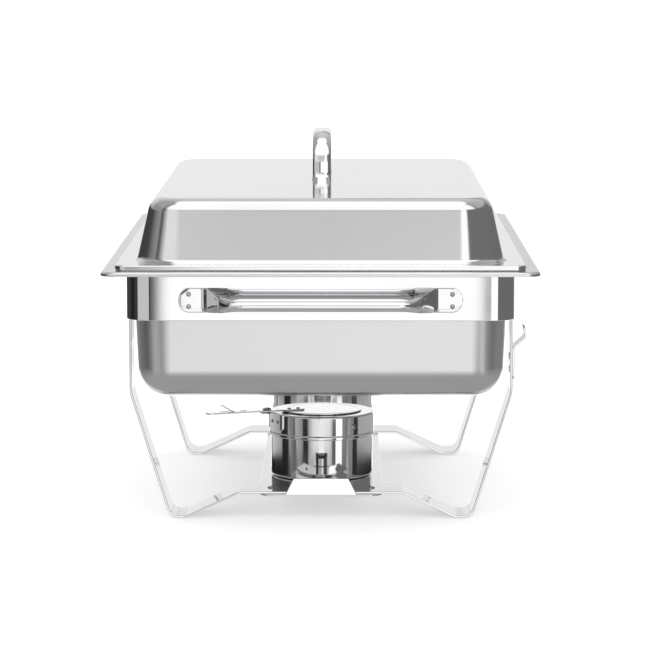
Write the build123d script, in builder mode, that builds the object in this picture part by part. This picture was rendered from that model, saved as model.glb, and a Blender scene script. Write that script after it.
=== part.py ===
from build123d import *
import math
import os

os.makedirs("parts", exist_ok=True)

# Chafing dish food warmer, in millimetres. The origin is on the floor under the centre of the
# dish. +X is across the dish, +Y along it towards the rear, +Z up.

# Sheet metal
PAN_GAUGE = 0.8
BAND_GAUGE = 1.2
STRIP_GAUGE = 2.0
SHELF_GAUGE = 1.4
REST_GAP = 0.2  # between faces that rest on each other but lift apart

# Water pan: flange size, body size just under the flange, and heights
FLANGE_HALF_X = 178.0
FLANGE_HALF_Y = 280.5
FLANGE_CORNER = 12.0
FLANGE_TOP = 218.0
FLANGE_LIP = 3.6
WATER_HALF_X = 154.2
WATER_HALF_Y = 256.7
WATER_CORNER = 32.0
WATER_BOTTOM = 110.5
WATER_BOTTOM_FILLET = 26.0
WATER_TAPER = 2.6

# Food pan: gastronorm 1/1, 65 mm deep
FOOD_FLANGE_HALF_X = 162.5
FOOD_FLANGE_HALF_Y = 265.0
FOOD_FLANGE_CORNER = 14.0
FOOD_HALF_X = 151.0
FOOD_HALF_Y = 253.5
FOOD_CORNER = 28.0
FOOD_DEPTH = 65.0
FOOD_BOTTOM_FILLET = 14.0
FOOD_TAPER = 4.0

# Lid
LID_RIM_HALF_X = 166.8
LID_RIM_HALF_Y = 269.3
LID_RIM_CORNER = 9.0
LID_RIM_BOTTOM = 218.3
LID_RIM_TOP = 222.5
LID_HEM = 1.8
LID_BODY_HALF_X = 152.5
LID_BODY_HALF_Y = 255.0
LID_BODY_CORNER = 40.0
LID_STEP_TOP = 226.5
LID_STEP_IN = 1.5
LID_TOP = 275.0
LID_TAPER = 13.0
LID_TOP_FILLET = 13.0

# Lid handle
HANDLE_HALF_SPAN = 50.0
HANDLE_TOP = 316.7
HANDLE_WIDTH = 15.8
HANDLE_THICK = 6.0
HANDLE_BEND = 26.0
FOOT_WIDTH = 17.0
FOOT_LENGTH = 20.0
FOOT_THICK = 2.6
LID_SCREW_R = 2.0
LID_SCREW_HEAD_R = 3.6
LID_SCREW_HEAD = 2.2
LID_SCREW_GRIP = 8.0  # how far the screws reach into the handle
TAPPED_DEPTH = 10.0
WASHER_R = 6.0
WASHER_THICK = 1.0

# Frame band
BAND_HALF_X = 158.7
BAND_HALF_Y = 261.2
BAND_CORNER = 20.0
BAND_BOTTOM = 176.5
BAND_TOP = FLANGE_TOP - PAN_GAUGE - REST_GAP

# Leg strips: the outer face runs down the band, in to the foot, up to the bridge and across
STRIP_WIDTH = 40.0
STRIP_Y = 165.0
STRIP_TOP = 210.0
STRIP_BEND_Z = 106.0
FOOT_OUTER_X = 127.5
FOOT_INNER_X = 113.5
BRIDGE_X = 69.1
BRIDGE_Z = 20.6
LEG_OUTER_X = BAND_HALF_X + STRIP_GAUGE
UPPER_BEND_R = 30.0
FOOT_BEND_R = 12.0
BRIDGE_BEND_R = 10.0

# Burner shelf, fixed under the bridges of the two strips
SHELF_HALF_X = 52.0
SHELF_OVERHANG = 4.5
SHELF_CORNER = 12.0
SHELF_SIDE_DROP = 4.0
SHELF_SIDE_GAP = 6.0  # from the strips to the ends of the side edges
TAB_HEIGHT = 14.0
TAB_HALF_BOTTOM = 30.4
TAB_HALF_TOP = 23.2
TAB_BEND = 1.6

# Rivets
RIVET_SHANK_R = 2.0
RIVET_HEAD_R = 3.6
RIVET_HEAD = 1.6
RIVET_TAIL_R = 2.9
RIVET_TAIL = 1.0
RIVET_TAPER = 28.0
HOLE_PLAY = 0.06
LEG_RIVET_Z = 196.0
LEG_RIVET_PITCH = 22.0
SHELF_RIVET_X = 42.0

# Carry handles on the short faces of the band
GRIP_Z = 193.5
GRIP_R = 4.2
GRIP_REACH = 45.0
GRIP_HALF = 61.0
PLATE_INNER_X = 95.0
PLATE_OUTER_X = 115.5
PLATE_HALF_HEIGHT = 10.0
PLATE_THICK = 2.0
PLATE_ROUND = 9.0
# Sections of one neck, from the plate to the grip: distance in from the plate's edge, distance off
# the band, heading off the band in degrees, half height and half thickness of the oval
NECK_SECTIONS = [
    (-2.0, PLATE_THICK / 2, 8.0, PLATE_HALF_HEIGHT, PLATE_THICK / 2),
    (3.0, 4.5, 58.0, 9.7, 1.2),
    (7.0, 13.0, 68.0, 8.8, 1.7),
    (11.5, 24.5, 68.0, 7.2, 2.6),
    (17.5, 36.0, 52.0, 5.6, 3.6),
    (25.0, 43.0, 26.0, 4.5, 4.1),
    (34.0, GRIP_REACH, 0.0, GRIP_R, GRIP_R)]
HANDLE_RIVET_X = 107.0
HANDLE_RIVET_PITCH = 10.0
HANDLE_RIVET_SHANK_R = 1.2
HANDLE_RIVET_HEAD_R = 2.0
HANDLE_RIVET_HEAD = 0.9

# Lid hooks on the right-hand legs
HOOK_WIDTH = 20.0
HOOK_GAUGE = 2.0
HOOK_BOTTOM = 116.5
HOOK_BEND_Z = 144.0
HOOK_REACH = 12.5
HOOK_KNEE_Z = 153.0
HOOK_TIP_Z = 162.0
HOOK_TIP_IN = 2.0
HOOK_BENDS = [4.0, 5.0]
HOOK_RIVET_HEAD = 0.5
HOOK_RIVET_Z = 130.0
HOOK_RIVET_PITCH = 11.0

# Burners
BURNER_Y = 79.0
CUP_R = 44.3
CUP_GAUGE = 0.8
CUP_BOTTOM = BRIDGE_Z + REST_GAP
CUP_TOP = 66.0
CUP_BOTTOM_FILLET = 2.2
COVER_R = 45.4
COVER_BOTTOM = 56.0
COVER_TOP = 76.6
BEAD_R = 1.7
BEAD_IN = 0.9  # from the wall's face to the middle of the bead
COVER_EDGE_R = 0.6
OPENING_R = 31.0
DISC_R = 35.0
DISC_GAUGE = 1.0
DISC_GAP = 0.3
DISC_BOTTOM = COVER_TOP + DISC_GAP
LEVER_BOTTOM = DISC_BOTTOM + DISC_GAUGE
LEVER_GAUGE = 1.2
LEVER_TOP = LEVER_BOTTOM + LEVER_GAUGE
LEVER_WIDTH = 12.0
LEVER_INNER = 16.5
LEVER_OUTER = 106.0
LEVER_HOLE_AT = 72.0
LEVER_HOLE_R = 2.8
TONGUE_ROOT = 80.0
TONGUE_TIP = 92.0
TONGUE_WIDTH = 5.0
TONGUE_RISE = 6.5
TONGUE_LAP = 1.0  # overlap of the tongue and the lever at the root
TONGUE_SLOT_PLAY = 0.7
LEVER_AZIMUTH = 200.0
PIVOT_AT = 50.5
PIVOT_R = 2.0
PIVOT_PLAY = 0.08
PIVOT_HEAD_R = 4.0
PIVOT_HEAD = 1.8
BRACKET_AZIMUTH = 207.0
BRACKET_SPAN = 32.0
BRACKET_GAUGE = 1.2
BRACKET_CLEARANCE = 0.05
BRACKET_BOTTOM = 62.0
EAR_SPAN = 17.0
EAR_REACH = 57.0
BRACKET_RIVET_OFFSETS = (-3.0, 9.0)
BRACKET_RIVET_Z = 69.5
SMALL_RIVET_R = 1.0
SMALL_HEAD_R = 1.7
SMALL_HEAD = 0.8
SMALL_TAPER = 25.0
STUD_AZIMUTH = 307.0
STUD_Z = 67.0
STUD_R = 2.4
LEVER_RIVET_AT = (22.0, 30.0)


def save(piece, name):
    """Label a finished piece and write its STEP file."""
    piece.part.label = name
    export_step(piece.part, f"parts/{name}.step")


def disc_on(plane, radius):
    """A round face on a plane."""
    with BuildSketch(plane) as face:
        Circle(radius)
    return face.sketch


def tub_solid(half_x, half_y, corner, top, bottom, taper, fillet_radius):
    """A solid rounded rectangle that narrows downwards, with a filleted underside."""
    with BuildPart() as solid:
        with BuildSketch(Plane.XY.offset(top)):
            RectangleRounded(2 * half_x, 2 * half_y, corner)
        extrude(amount=bottom - top, taper=taper)
        underside = solid.faces().sort_by(Axis.Z)[0]
        fillet(underside.edges(), radius=fillet_radius)
    return solid.part


def dome_solid(half_x, half_y, corner, base, top, taper, fillet_radius):
    """A solid rounded rectangle that narrows upwards, with a filleted top."""
    with BuildPart() as solid:
        with BuildSketch(Plane.XY.offset(base)):
            RectangleRounded(2 * half_x, 2 * half_y, corner)
        extrude(amount=top - base, taper=taper)
        upper = solid.faces().sort_by(Axis.Z)[-1]
        fillet(upper.edges(), radius=fillet_radius)
    return solid.part


def make_water_pan():
    """Deep bath with a flat flange whose outer edge is turned down."""
    underside = FLANGE_TOP - PAN_GAUGE
    outer = tub_solid(WATER_HALF_X, WATER_HALF_Y, WATER_CORNER, underside, WATER_BOTTOM,
                      WATER_TAPER, WATER_BOTTOM_FILLET)
    inner = tub_solid(WATER_HALF_X - PAN_GAUGE, WATER_HALF_Y - PAN_GAUGE, WATER_CORNER - PAN_GAUGE,
                      underside, WATER_BOTTOM + PAN_GAUGE, WATER_TAPER,
                      WATER_BOTTOM_FILLET - PAN_GAUGE)
    with BuildPart() as pan:
        with BuildSketch(Plane.XY.offset(FLANGE_TOP)):
            RectangleRounded(2 * FLANGE_HALF_X, 2 * FLANGE_HALF_Y, FLANGE_CORNER)
        extrude(amount=-FLANGE_LIP)
        with BuildSketch(Plane.XY.offset(underside)):
            RectangleRounded(2 * (FLANGE_HALF_X - PAN_GAUGE), 2 * (FLANGE_HALF_Y - PAN_GAUGE),
                             FLANGE_CORNER - PAN_GAUGE)
        extrude(amount=-FLANGE_LIP, mode=Mode.SUBTRACT)
        add(outer)
        with BuildSketch(Plane.XY.offset(FLANGE_TOP)):
            RectangleRounded(2 * (WATER_HALF_X - PAN_GAUGE), 2 * (WATER_HALF_Y - PAN_GAUGE),
                             WATER_CORNER - PAN_GAUGE)
        extrude(amount=-PAN_GAUGE, mode=Mode.SUBTRACT)
        add(inner, mode=Mode.SUBTRACT)
    save(pan, "water_pan")


def make_food_pan():
    """Gastronorm insert whose flange lies on the flange of the water pan."""
    flange_bottom = FLANGE_TOP + REST_GAP
    flange_top = flange_bottom + PAN_GAUGE
    bottom = flange_top - FOOD_DEPTH
    outer = tub_solid(FOOD_HALF_X, FOOD_HALF_Y, FOOD_CORNER, flange_bottom, bottom, FOOD_TAPER,
                      FOOD_BOTTOM_FILLET)
    inner = tub_solid(FOOD_HALF_X - PAN_GAUGE, FOOD_HALF_Y - PAN_GAUGE, FOOD_CORNER - PAN_GAUGE,
                      flange_bottom, bottom + PAN_GAUGE, FOOD_TAPER,
                      FOOD_BOTTOM_FILLET - PAN_GAUGE)
    with BuildPart() as pan:
        with BuildSketch(Plane.XY.offset(flange_bottom)):
            RectangleRounded(2 * FOOD_FLANGE_HALF_X, 2 * FOOD_FLANGE_HALF_Y, FOOD_FLANGE_CORNER)
        extrude(amount=PAN_GAUGE)
        add(outer)
        with BuildSketch(Plane.XY.offset(flange_top)):
            RectangleRounded(2 * (FOOD_HALF_X - PAN_GAUGE), 2 * (FOOD_HALF_Y - PAN_GAUGE),
                             FOOD_CORNER - PAN_GAUGE)
        extrude(amount=-PAN_GAUGE, mode=Mode.SUBTRACT)
        add(inner, mode=Mode.SUBTRACT)
    save(pan, "food_pan")


def make_lid_shell():
    """Cover with a hemmed rim, a low step and a body that leans in to a flat top."""
    wall_x = LID_BODY_HALF_X - LID_STEP_IN
    wall_y = LID_BODY_HALF_Y - LID_STEP_IN
    wall_corner = LID_BODY_CORNER - LID_STEP_IN
    rim_underside = LID_RIM_TOP - PAN_GAUGE
    outer = dome_solid(wall_x, wall_y, wall_corner, LID_STEP_TOP, LID_TOP, LID_TAPER,
                       LID_TOP_FILLET)
    inner = dome_solid(wall_x - PAN_GAUGE, wall_y - PAN_GAUGE, wall_corner - PAN_GAUGE,
                       LID_STEP_TOP, LID_TOP - PAN_GAUGE, LID_TAPER, LID_TOP_FILLET - PAN_GAUGE)
    with BuildPart() as lid:
        with BuildSketch(Plane.XY.offset(LID_RIM_BOTTOM)):
            RectangleRounded(2 * LID_RIM_HALF_X, 2 * LID_RIM_HALF_Y, LID_RIM_CORNER)
        extrude(amount=LID_RIM_TOP - LID_RIM_BOTTOM)
        with BuildSketch(Plane.XY.offset(rim_underside)):
            RectangleRounded(2 * (LID_RIM_HALF_X - LID_HEM), 2 * (LID_RIM_HALF_Y - LID_HEM),
                             LID_RIM_CORNER - LID_HEM)
        extrude(amount=LID_RIM_BOTTOM - rim_underside, mode=Mode.SUBTRACT)
        with BuildSketch(Plane.XY.offset(LID_RIM_TOP)):
            RectangleRounded(2 * LID_BODY_HALF_X, 2 * LID_BODY_HALF_Y, LID_BODY_CORNER)
        extrude(amount=LID_STEP_TOP - LID_RIM_TOP)
        add(outer)
        with BuildSketch(Plane.XY.offset(rim_underside)):
            RectangleRounded(2 * (LID_BODY_HALF_X - PAN_GAUGE), 2 * (LID_BODY_HALF_Y - PAN_GAUGE),
                             LID_BODY_CORNER - PAN_GAUGE)
        extrude(amount=LID_STEP_TOP - PAN_GAUGE - rim_underside, mode=Mode.SUBTRACT)
        with BuildSketch(Plane.XY.offset(LID_STEP_TOP - PAN_GAUGE)):
            RectangleRounded(2 * (wall_x - PAN_GAUGE), 2 * (wall_y - PAN_GAUGE),
                             wall_corner - PAN_GAUGE)
        extrude(amount=PAN_GAUGE, mode=Mode.SUBTRACT)
        add(inner, mode=Mode.SUBTRACT)
        with Locations((0, HANDLE_HALF_SPAN, LID_TOP), (0, -HANDLE_HALF_SPAN, LID_TOP)):
            Hole(radius=LID_SCREW_R + HOLE_PLAY, depth=2 * PAN_GAUGE)
    save(lid, "lid_shell")


def make_lid_handle():
    """Arched strap on two feet, tapped from below for the screws."""
    strap_z = HANDLE_TOP - HANDLE_THICK / 2
    root_z = LID_TOP + FOOT_THICK / 2
    with BuildPart() as handle:
        with BuildLine(Plane.YZ) as arch:
            FilletPolyline((-HANDLE_HALF_SPAN, root_z), (-HANDLE_HALF_SPAN, strap_z),
                           (HANDLE_HALF_SPAN, strap_z), (HANDLE_HALF_SPAN, root_z),
                           radius=HANDLE_BEND)
        with BuildSketch(Plane(arch.line @ 0, x_dir=(1, 0, 0), z_dir=arch.line % 0)):
            RectangleRounded(HANDLE_WIDTH, HANDLE_THICK, HANDLE_THICK * 0.36)
        sweep()
        with BuildSketch(Plane.XY.offset(LID_TOP)):
            with Locations((0, HANDLE_HALF_SPAN), (0, -HANDLE_HALF_SPAN)):
                RectangleRounded(FOOT_WIDTH, FOOT_LENGTH, FOOT_WIDTH * 0.4)
        extrude(amount=FOOT_THICK)
        with BuildSketch(Plane.XY.offset(LID_TOP)):
            with Locations((0, HANDLE_HALF_SPAN), (0, -HANDLE_HALF_SPAN)):
                Circle(LID_SCREW_R + HOLE_PLAY)
        extrude(amount=TAPPED_DEPTH, mode=Mode.SUBTRACT)
    save(handle, "lid_handle")


def make_lid_fasteners():
    """Screws from inside the lid, each with a washer under its head."""
    ceiling = LID_TOP - PAN_GAUGE
    with BuildPart() as washers:
        with BuildSketch(Plane.XY.offset(ceiling)):
            with Locations((0, HANDLE_HALF_SPAN), (0, -HANDLE_HALF_SPAN)):
                Circle(WASHER_R)
                Circle(LID_SCREW_R + HOLE_PLAY, mode=Mode.SUBTRACT)
        extrude(amount=-WASHER_THICK)
    save(washers, "lid_handle_washers")

    head_top = ceiling - WASHER_THICK
    with BuildPart() as screws:
        with BuildSketch(Plane.XY.offset(head_top)):
            with Locations((0, HANDLE_HALF_SPAN), (0, -HANDLE_HALF_SPAN)):
                Circle(LID_SCREW_HEAD_R)
        extrude(amount=-LID_SCREW_HEAD)
        with BuildSketch(Plane.XY.offset(head_top)):
            with Locations((0, HANDLE_HALF_SPAN), (0, -HANDLE_HALF_SPAN)):
                Circle(LID_SCREW_R)
        extrude(amount=WASHER_THICK + PAN_GAUGE + LID_SCREW_GRIP)
        fillet(screws.edges().group_by(Axis.Z)[0], radius=LID_SCREW_HEAD * 0.4)
    save(screws, "lid_handle_screws")


def leg_rivet_places():
    """Points on the outer face of the band, as (x side, y, z)."""
    places = []
    for side in (-1, 1):
        for strip_y in (-STRIP_Y, STRIP_Y):
            for offset_y in (-LEG_RIVET_PITCH / 2, LEG_RIVET_PITCH / 2):
                places.append((side, strip_y + offset_y, LEG_RIVET_Z))
    return places


def across_x(x, y, z):
    """A plane whose normal is +X, at a point."""
    return Plane(origin=(x, y, z), x_dir=(0, 1, 0), z_dir=(1, 0, 0))


def along_y(x, y, z):
    """A plane whose normal is -Y, at a point."""
    return Plane(origin=(x, y, z), x_dir=(1, 0, 0), z_dir=(0, -1, 0))


def make_frame_band():
    """Collar round the water pan, drilled for the legs and the carry handles."""
    with BuildPart() as band:
        with BuildSketch(Plane.XY.offset(BAND_BOTTOM)):
            RectangleRounded(2 * BAND_HALF_X, 2 * BAND_HALF_Y, BAND_CORNER)
            RectangleRounded(2 * (BAND_HALF_X - BAND_GAUGE), 2 * (BAND_HALF_Y - BAND_GAUGE),
                             BAND_CORNER - BAND_GAUGE, mode=Mode.SUBTRACT)
        extrude(amount=BAND_TOP - BAND_BOTTOM)
        for side, y, z in leg_rivet_places():
            extrude(disc_on(across_x(side * BAND_HALF_X, y, z), RIVET_SHANK_R + HOLE_PLAY),
                    amount=2 * BAND_GAUGE, both=True, mode=Mode.SUBTRACT)
        for side in (-1, 1):
            for x, z in handle_rivet_places():
                hole = disc_on(along_y(x, side * BAND_HALF_Y, z), HANDLE_RIVET_SHANK_R + HOLE_PLAY)
                extrude(hole, amount=2 * BAND_GAUGE, both=True, mode=Mode.SUBTRACT)
    save(band, "frame_band")


def make_leg_strip(name, centre_y):
    """One strip bent into two legs and a bridge; its feet end in short flats."""
    outer_face = [
        (-LEG_OUTER_X, STRIP_TOP), (-LEG_OUTER_X, STRIP_BEND_Z), (-FOOT_OUTER_X, 0),
        (-FOOT_INNER_X, 0), (-BRIDGE_X, BRIDGE_Z), (BRIDGE_X, BRIDGE_Z), (FOOT_INNER_X, 0),
        (FOOT_OUTER_X, 0), (LEG_OUTER_X, STRIP_BEND_Z), (LEG_OUTER_X, STRIP_TOP)]
    bends = [UPPER_BEND_R, FOOT_BEND_R, FOOT_BEND_R, BRIDGE_BEND_R]
    with BuildPart() as strip:
        with BuildSketch(Plane.XZ.offset(-centre_y)):
            with BuildLine():
                FilletPolyline(*outer_face, radius=bends + bends[::-1])
                offset(amount=STRIP_GAUGE, side=Side.LEFT)
            make_face()
        extrude(amount=STRIP_WIDTH / 2, both=True)
        for side, y, z in leg_rivet_places():
            if abs(y - centre_y) < STRIP_WIDTH / 2:
                hole = disc_on(across_x(side * LEG_OUTER_X, y, z), RIVET_SHANK_R + HOLE_PLAY)
                extrude(hole, amount=2 * STRIP_GAUGE, both=True, mode=Mode.SUBTRACT)
        for y, z in hook_rivet_places(centre_y):
            hole = disc_on(across_x(LEG_OUTER_X, y, z), RIVET_SHANK_R + HOLE_PLAY)
            extrude(hole, amount=2 * STRIP_GAUGE, both=True, mode=Mode.SUBTRACT)
        with BuildSketch(Plane.XY.offset(BRIDGE_Z - STRIP_GAUGE)):
            with Locations((-SHELF_RIVET_X, centre_y), (SHELF_RIVET_X, centre_y)):
                Circle(RIVET_SHANK_R + HOLE_PLAY)
        extrude(amount=3 * STRIP_GAUGE, mode=Mode.SUBTRACT)
    save(strip, name)


def make_leg_rivets():
    """Domed heads outside the strips, flat tails inside the band."""
    with BuildPart() as rivets:
        for side, y, z in leg_rivet_places():
            tail = across_x(side * (BAND_HALF_X - BAND_GAUGE), y, z)
            extrude(disc_on(tail, RIVET_SHANK_R), amount=side * (BAND_GAUGE + STRIP_GAUGE))
            extrude(disc_on(tail, RIVET_TAIL_R), amount=-side * RIVET_TAIL)
            extrude(disc_on(across_x(side * LEG_OUTER_X, y, z), RIVET_HEAD_R),
                    amount=side * RIVET_HEAD, taper=RIVET_TAPER)
    save(rivets, "leg_rivets")


def hook_rivet_places(centre_y):
    """Points (y, z) of the two rivets of one lid hook."""
    return [(centre_y, HOOK_RIVET_Z - HOOK_RIVET_PITCH / 2),
            (centre_y, HOOK_RIVET_Z + HOOK_RIVET_PITCH / 2)]


def make_lid_hook(name, centre_y):
    """Strap riveted to a right-hand leg; its upper end stands out and turns up."""
    x = LEG_OUTER_X
    inner_face = [(x, HOOK_BOTTOM), (x, HOOK_BEND_Z), (x + HOOK_REACH - HOOK_GAUGE, HOOK_KNEE_Z),
                  (x + HOOK_REACH - HOOK_GAUGE - HOOK_TIP_IN, HOOK_TIP_Z)]
    with BuildPart() as hook:
        with BuildSketch(Plane.XZ.offset(-centre_y)):
            with BuildLine():
                FilletPolyline(*inner_face, radius=HOOK_BENDS)
                offset(amount=HOOK_GAUGE, side=Side.RIGHT)
            make_face()
        extrude(amount=HOOK_WIDTH / 2, both=True)
        for y, z in hook_rivet_places(centre_y):
            extrude(disc_on(across_x(x, y, z), RIVET_SHANK_R + HOLE_PLAY),
                    amount=2 * HOOK_GAUGE, both=True, mode=Mode.SUBTRACT)
    save(hook, name)


def make_lid_hook_rivets():
    """Low heads outside the hooks, low tails inside the legs."""
    with BuildPart() as rivets:
        for centre_y in (-STRIP_Y, STRIP_Y):
            for y, z in hook_rivet_places(centre_y):
                tail = across_x(LEG_OUTER_X - STRIP_GAUGE, y, z)
                extrude(disc_on(tail, RIVET_SHANK_R), amount=STRIP_GAUGE + HOOK_GAUGE)
                extrude(disc_on(tail, RIVET_TAIL_R), amount=-HOOK_RIVET_HEAD)
                extrude(disc_on(across_x(LEG_OUTER_X + HOOK_GAUGE, y, z), RIVET_HEAD_R),
                        amount=HOOK_RIVET_HEAD, taper=RIVET_TAPER)
    save(rivets, "lid_hook_rivets")


def make_burner_shelf():
    """Plate under the two bridges, with sloped side edges and an upright tab at each end."""
    top = BRIDGE_Z
    half_y = STRIP_Y + STRIP_WIDTH / 2 + SHELF_OVERHANG
    with BuildPart() as shelf:
        with BuildSketch(Plane.XY.offset(top)):
            RectangleRounded(2 * SHELF_HALF_X, 2 * half_y, SHELF_CORNER)
        extrude(amount=-SHELF_GAUGE)
        inner_half_y = STRIP_Y - STRIP_WIDTH / 2 - SHELF_SIDE_GAP
        with BuildSketch(Plane.XZ):
            for side in (-1, 1):
                with BuildLine():
                    Polyline((side * (SHELF_HALF_X - SHELF_GAUGE), top - SHELF_GAUGE),
                             (side * SHELF_HALF_X, top - SHELF_GAUGE),
                             (side * SHELF_HALF_X, top - SHELF_SIDE_DROP),
                             (side * (SHELF_HALF_X - SHELF_GAUGE), top - SHELF_SIDE_DROP),
                             close=True)
                make_face()
        extrude(amount=inner_half_y, both=True)
        for side in (-1, 1):
            with BuildSketch(along_y(0, side * (half_y - TAB_BEND), top)):
                with BuildLine():
                    Polyline((-TAB_HALF_BOTTOM, -SHELF_GAUGE), (TAB_HALF_BOTTOM, -SHELF_GAUGE),
                             (TAB_HALF_TOP, TAB_HEIGHT), (-TAB_HALF_TOP, TAB_HEIGHT), close=True)
                make_face()
            extrude(amount=-side * TAB_BEND)
        with BuildSketch(Plane.XY.offset(top)):
            with Locations((-SHELF_RIVET_X, -STRIP_Y), (SHELF_RIVET_X, -STRIP_Y),
                           (-SHELF_RIVET_X, STRIP_Y), (SHELF_RIVET_X, STRIP_Y)):
                Circle(RIVET_SHANK_R + HOLE_PLAY)
        extrude(amount=-2 * SHELF_GAUGE, mode=Mode.SUBTRACT)
    save(shelf, "burner_shelf")


def make_shelf_rivets():
    """Low domed heads on top of the bridges, tails under the shelf."""
    places = [(-SHELF_RIVET_X, -STRIP_Y), (SHELF_RIVET_X, -STRIP_Y),
              (-SHELF_RIVET_X, STRIP_Y), (SHELF_RIVET_X, STRIP_Y)]
    with BuildPart() as rivets:
        with BuildSketch(Plane.XY.offset(BRIDGE_Z - SHELF_GAUGE)):
            with Locations(*places):
                Circle(RIVET_SHANK_R)
        extrude(amount=SHELF_GAUGE + STRIP_GAUGE)
        with BuildSketch(Plane.XY.offset(BRIDGE_Z - SHELF_GAUGE)):
            with Locations(*places):
                Circle(RIVET_TAIL_R)
        extrude(amount=-RIVET_TAIL)
        with BuildSketch(Plane.XY.offset(BRIDGE_Z + STRIP_GAUGE)):
            with Locations(*places):
                Circle(RIVET_HEAD_R)
        extrude(amount=RIVET_HEAD, taper=RIVET_TAPER)
    save(rivets, "shelf_rivets")


def handle_rivet_places():
    """Points (x, z) of the four rivets of one carry handle."""
    return [(x, GRIP_Z + dz)
            for x in (-HANDLE_RIVET_X, HANDLE_RIVET_X)
            for dz in (-HANDLE_RIVET_PITCH / 2, HANDLE_RIVET_PITCH / 2)]


def make_carry_handle(name, side):
    """Strip rolled to a round grip in the middle, with flat riveted ends on the band."""
    face = BAND_HALF_Y
    with BuildPart() as handle:
        for end in (-1, 1):
            for inward, reach, heading, half_high, half_thick in NECK_SECTIONS:
                angle = math.radians(heading)
                direction = (-end * math.cos(angle), side * math.sin(angle), 0)
                origin = (end * (PLATE_INNER_X - inward), side * (face + reach), GRIP_Z)
                with BuildSketch(Plane(origin=origin, x_dir=(0, 0, 1), z_dir=direction)):
                    Ellipse(half_high, half_thick)
            loft()
            with BuildSketch(along_y(end * (PLATE_INNER_X + PLATE_OUTER_X) / 2, side * face,
                                     GRIP_Z)):
                Rectangle(PLATE_OUTER_X - PLATE_INNER_X, 2 * PLATE_HALF_HEIGHT)
                outer_corners = vertices().group_by(Axis.X)[-1 if end > 0 else 0]
                fillet(outer_corners, radius=PLATE_ROUND)
            extrude(amount=-side * PLATE_THICK)
        extrude(disc_on(across_x(0, side * (face + GRIP_REACH), GRIP_Z), GRIP_R),
                amount=GRIP_HALF, both=True)
        for x, z in handle_rivet_places():
            extrude(disc_on(along_y(x, side * face, z), HANDLE_RIVET_SHANK_R + HOLE_PLAY),
                    amount=2 * PLATE_THICK, both=True, mode=Mode.SUBTRACT)
    save(handle, name)


def make_handle_rivets(name, side):
    """Small domed heads on the plates of one carry handle, tails inside the band."""
    with BuildPart() as rivets:
        for x, z in handle_rivet_places():
            tail = along_y(x, side * (BAND_HALF_Y - BAND_GAUGE), z)
            extrude(disc_on(tail, HANDLE_RIVET_SHANK_R), amount=-side * (BAND_GAUGE + PLATE_THICK))
            extrude(disc_on(tail, HANDLE_RIVET_HEAD_R), amount=side * HANDLE_RIVET_HEAD)
            extrude(disc_on(along_y(x, side * (BAND_HALF_Y + PLATE_THICK), z),
                            HANDLE_RIVET_HEAD_R),
                    amount=-side * HANDLE_RIVET_HEAD, taper=SMALL_TAPER)
    save(rivets, name)


def polar(radius, degrees, turn, centre_y):
    """A point at a radius and an azimuth about a burner's axis."""
    angle = math.radians(degrees + turn)
    return radius * math.cos(angle), centre_y + radius * math.sin(angle)


def radial_plane(radius, degrees, turn, centre_y, z):
    """A plane that faces out from a burner's axis, at a radius, an azimuth and a height."""
    angle = math.radians(degrees + turn)
    x, y = polar(radius, degrees, turn, centre_y)
    outward = (math.cos(angle), math.sin(angle), 0)
    return Plane(origin=(x, y, z), x_dir=(-math.sin(angle), math.cos(angle), 0), z_dir=outward)


def make_burner_cup(name, centre_y):
    """Open cup that stands on the shelf."""
    with BuildPart() as cup:
        with BuildSketch(Plane.XY.offset(CUP_BOTTOM)):
            with Locations((0, centre_y)):
                Circle(CUP_R)
        extrude(amount=CUP_TOP - CUP_BOTTOM)
        fillet(cup.edges().group_by(Axis.Z)[0], radius=CUP_BOTTOM_FILLET)
        mouth = cup.faces().sort_by(Axis.Z)[-1]
        offset(amount=-CUP_GAUGE, openings=mouth)
    save(cup, name)


def make_burner_cover(name, centre_y, turn):
    """Collar that slips over the cup, with a bead at its foot and a flat top."""
    skin = CUP_GAUGE
    with BuildPart() as cover:
        with BuildSketch(Plane.XZ.offset(-centre_y)):
            with BuildLine():
                Polyline((COVER_R - skin, COVER_BOTTOM), (COVER_R, COVER_BOTTOM),
                         (COVER_R, COVER_TOP), (OPENING_R, COVER_TOP),
                         (OPENING_R, COVER_TOP - skin), (COVER_R - skin, COVER_TOP - skin),
                         close=True)
            make_face()
            fillet(vertices().sort_by(Axis.X)[-1:], radius=COVER_EDGE_R)
            with Locations((COVER_R - BEAD_IN, COVER_BOTTOM + BEAD_R)):
                Circle(BEAD_R)
            with Locations((COVER_R - skin - 2 * BEAD_R, COVER_BOTTOM)):
                Rectangle(4 * BEAD_R, 6 * BEAD_R, mode=Mode.SUBTRACT)
        axis = Axis((0, centre_y, 0), (0, 0, 1))
        revolve(axis=axis)
        for offset_deg in BRACKET_RIVET_OFFSETS:
            plane = radial_plane(COVER_R, BRACKET_AZIMUTH + offset_deg, turn, centre_y,
                                 BRACKET_RIVET_Z)
            extrude(disc_on(plane, SMALL_RIVET_R + HOLE_PLAY), amount=2 * CUP_GAUGE, both=True,
                    mode=Mode.SUBTRACT)
        stud_plane = radial_plane(COVER_R, STUD_AZIMUTH, turn, centre_y, STUD_Z)
        extrude(disc_on(stud_plane, SMALL_RIVET_R + HOLE_PLAY), amount=2 * CUP_GAUGE, both=True,
                mode=Mode.SUBTRACT)
    save(cover, name)


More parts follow.
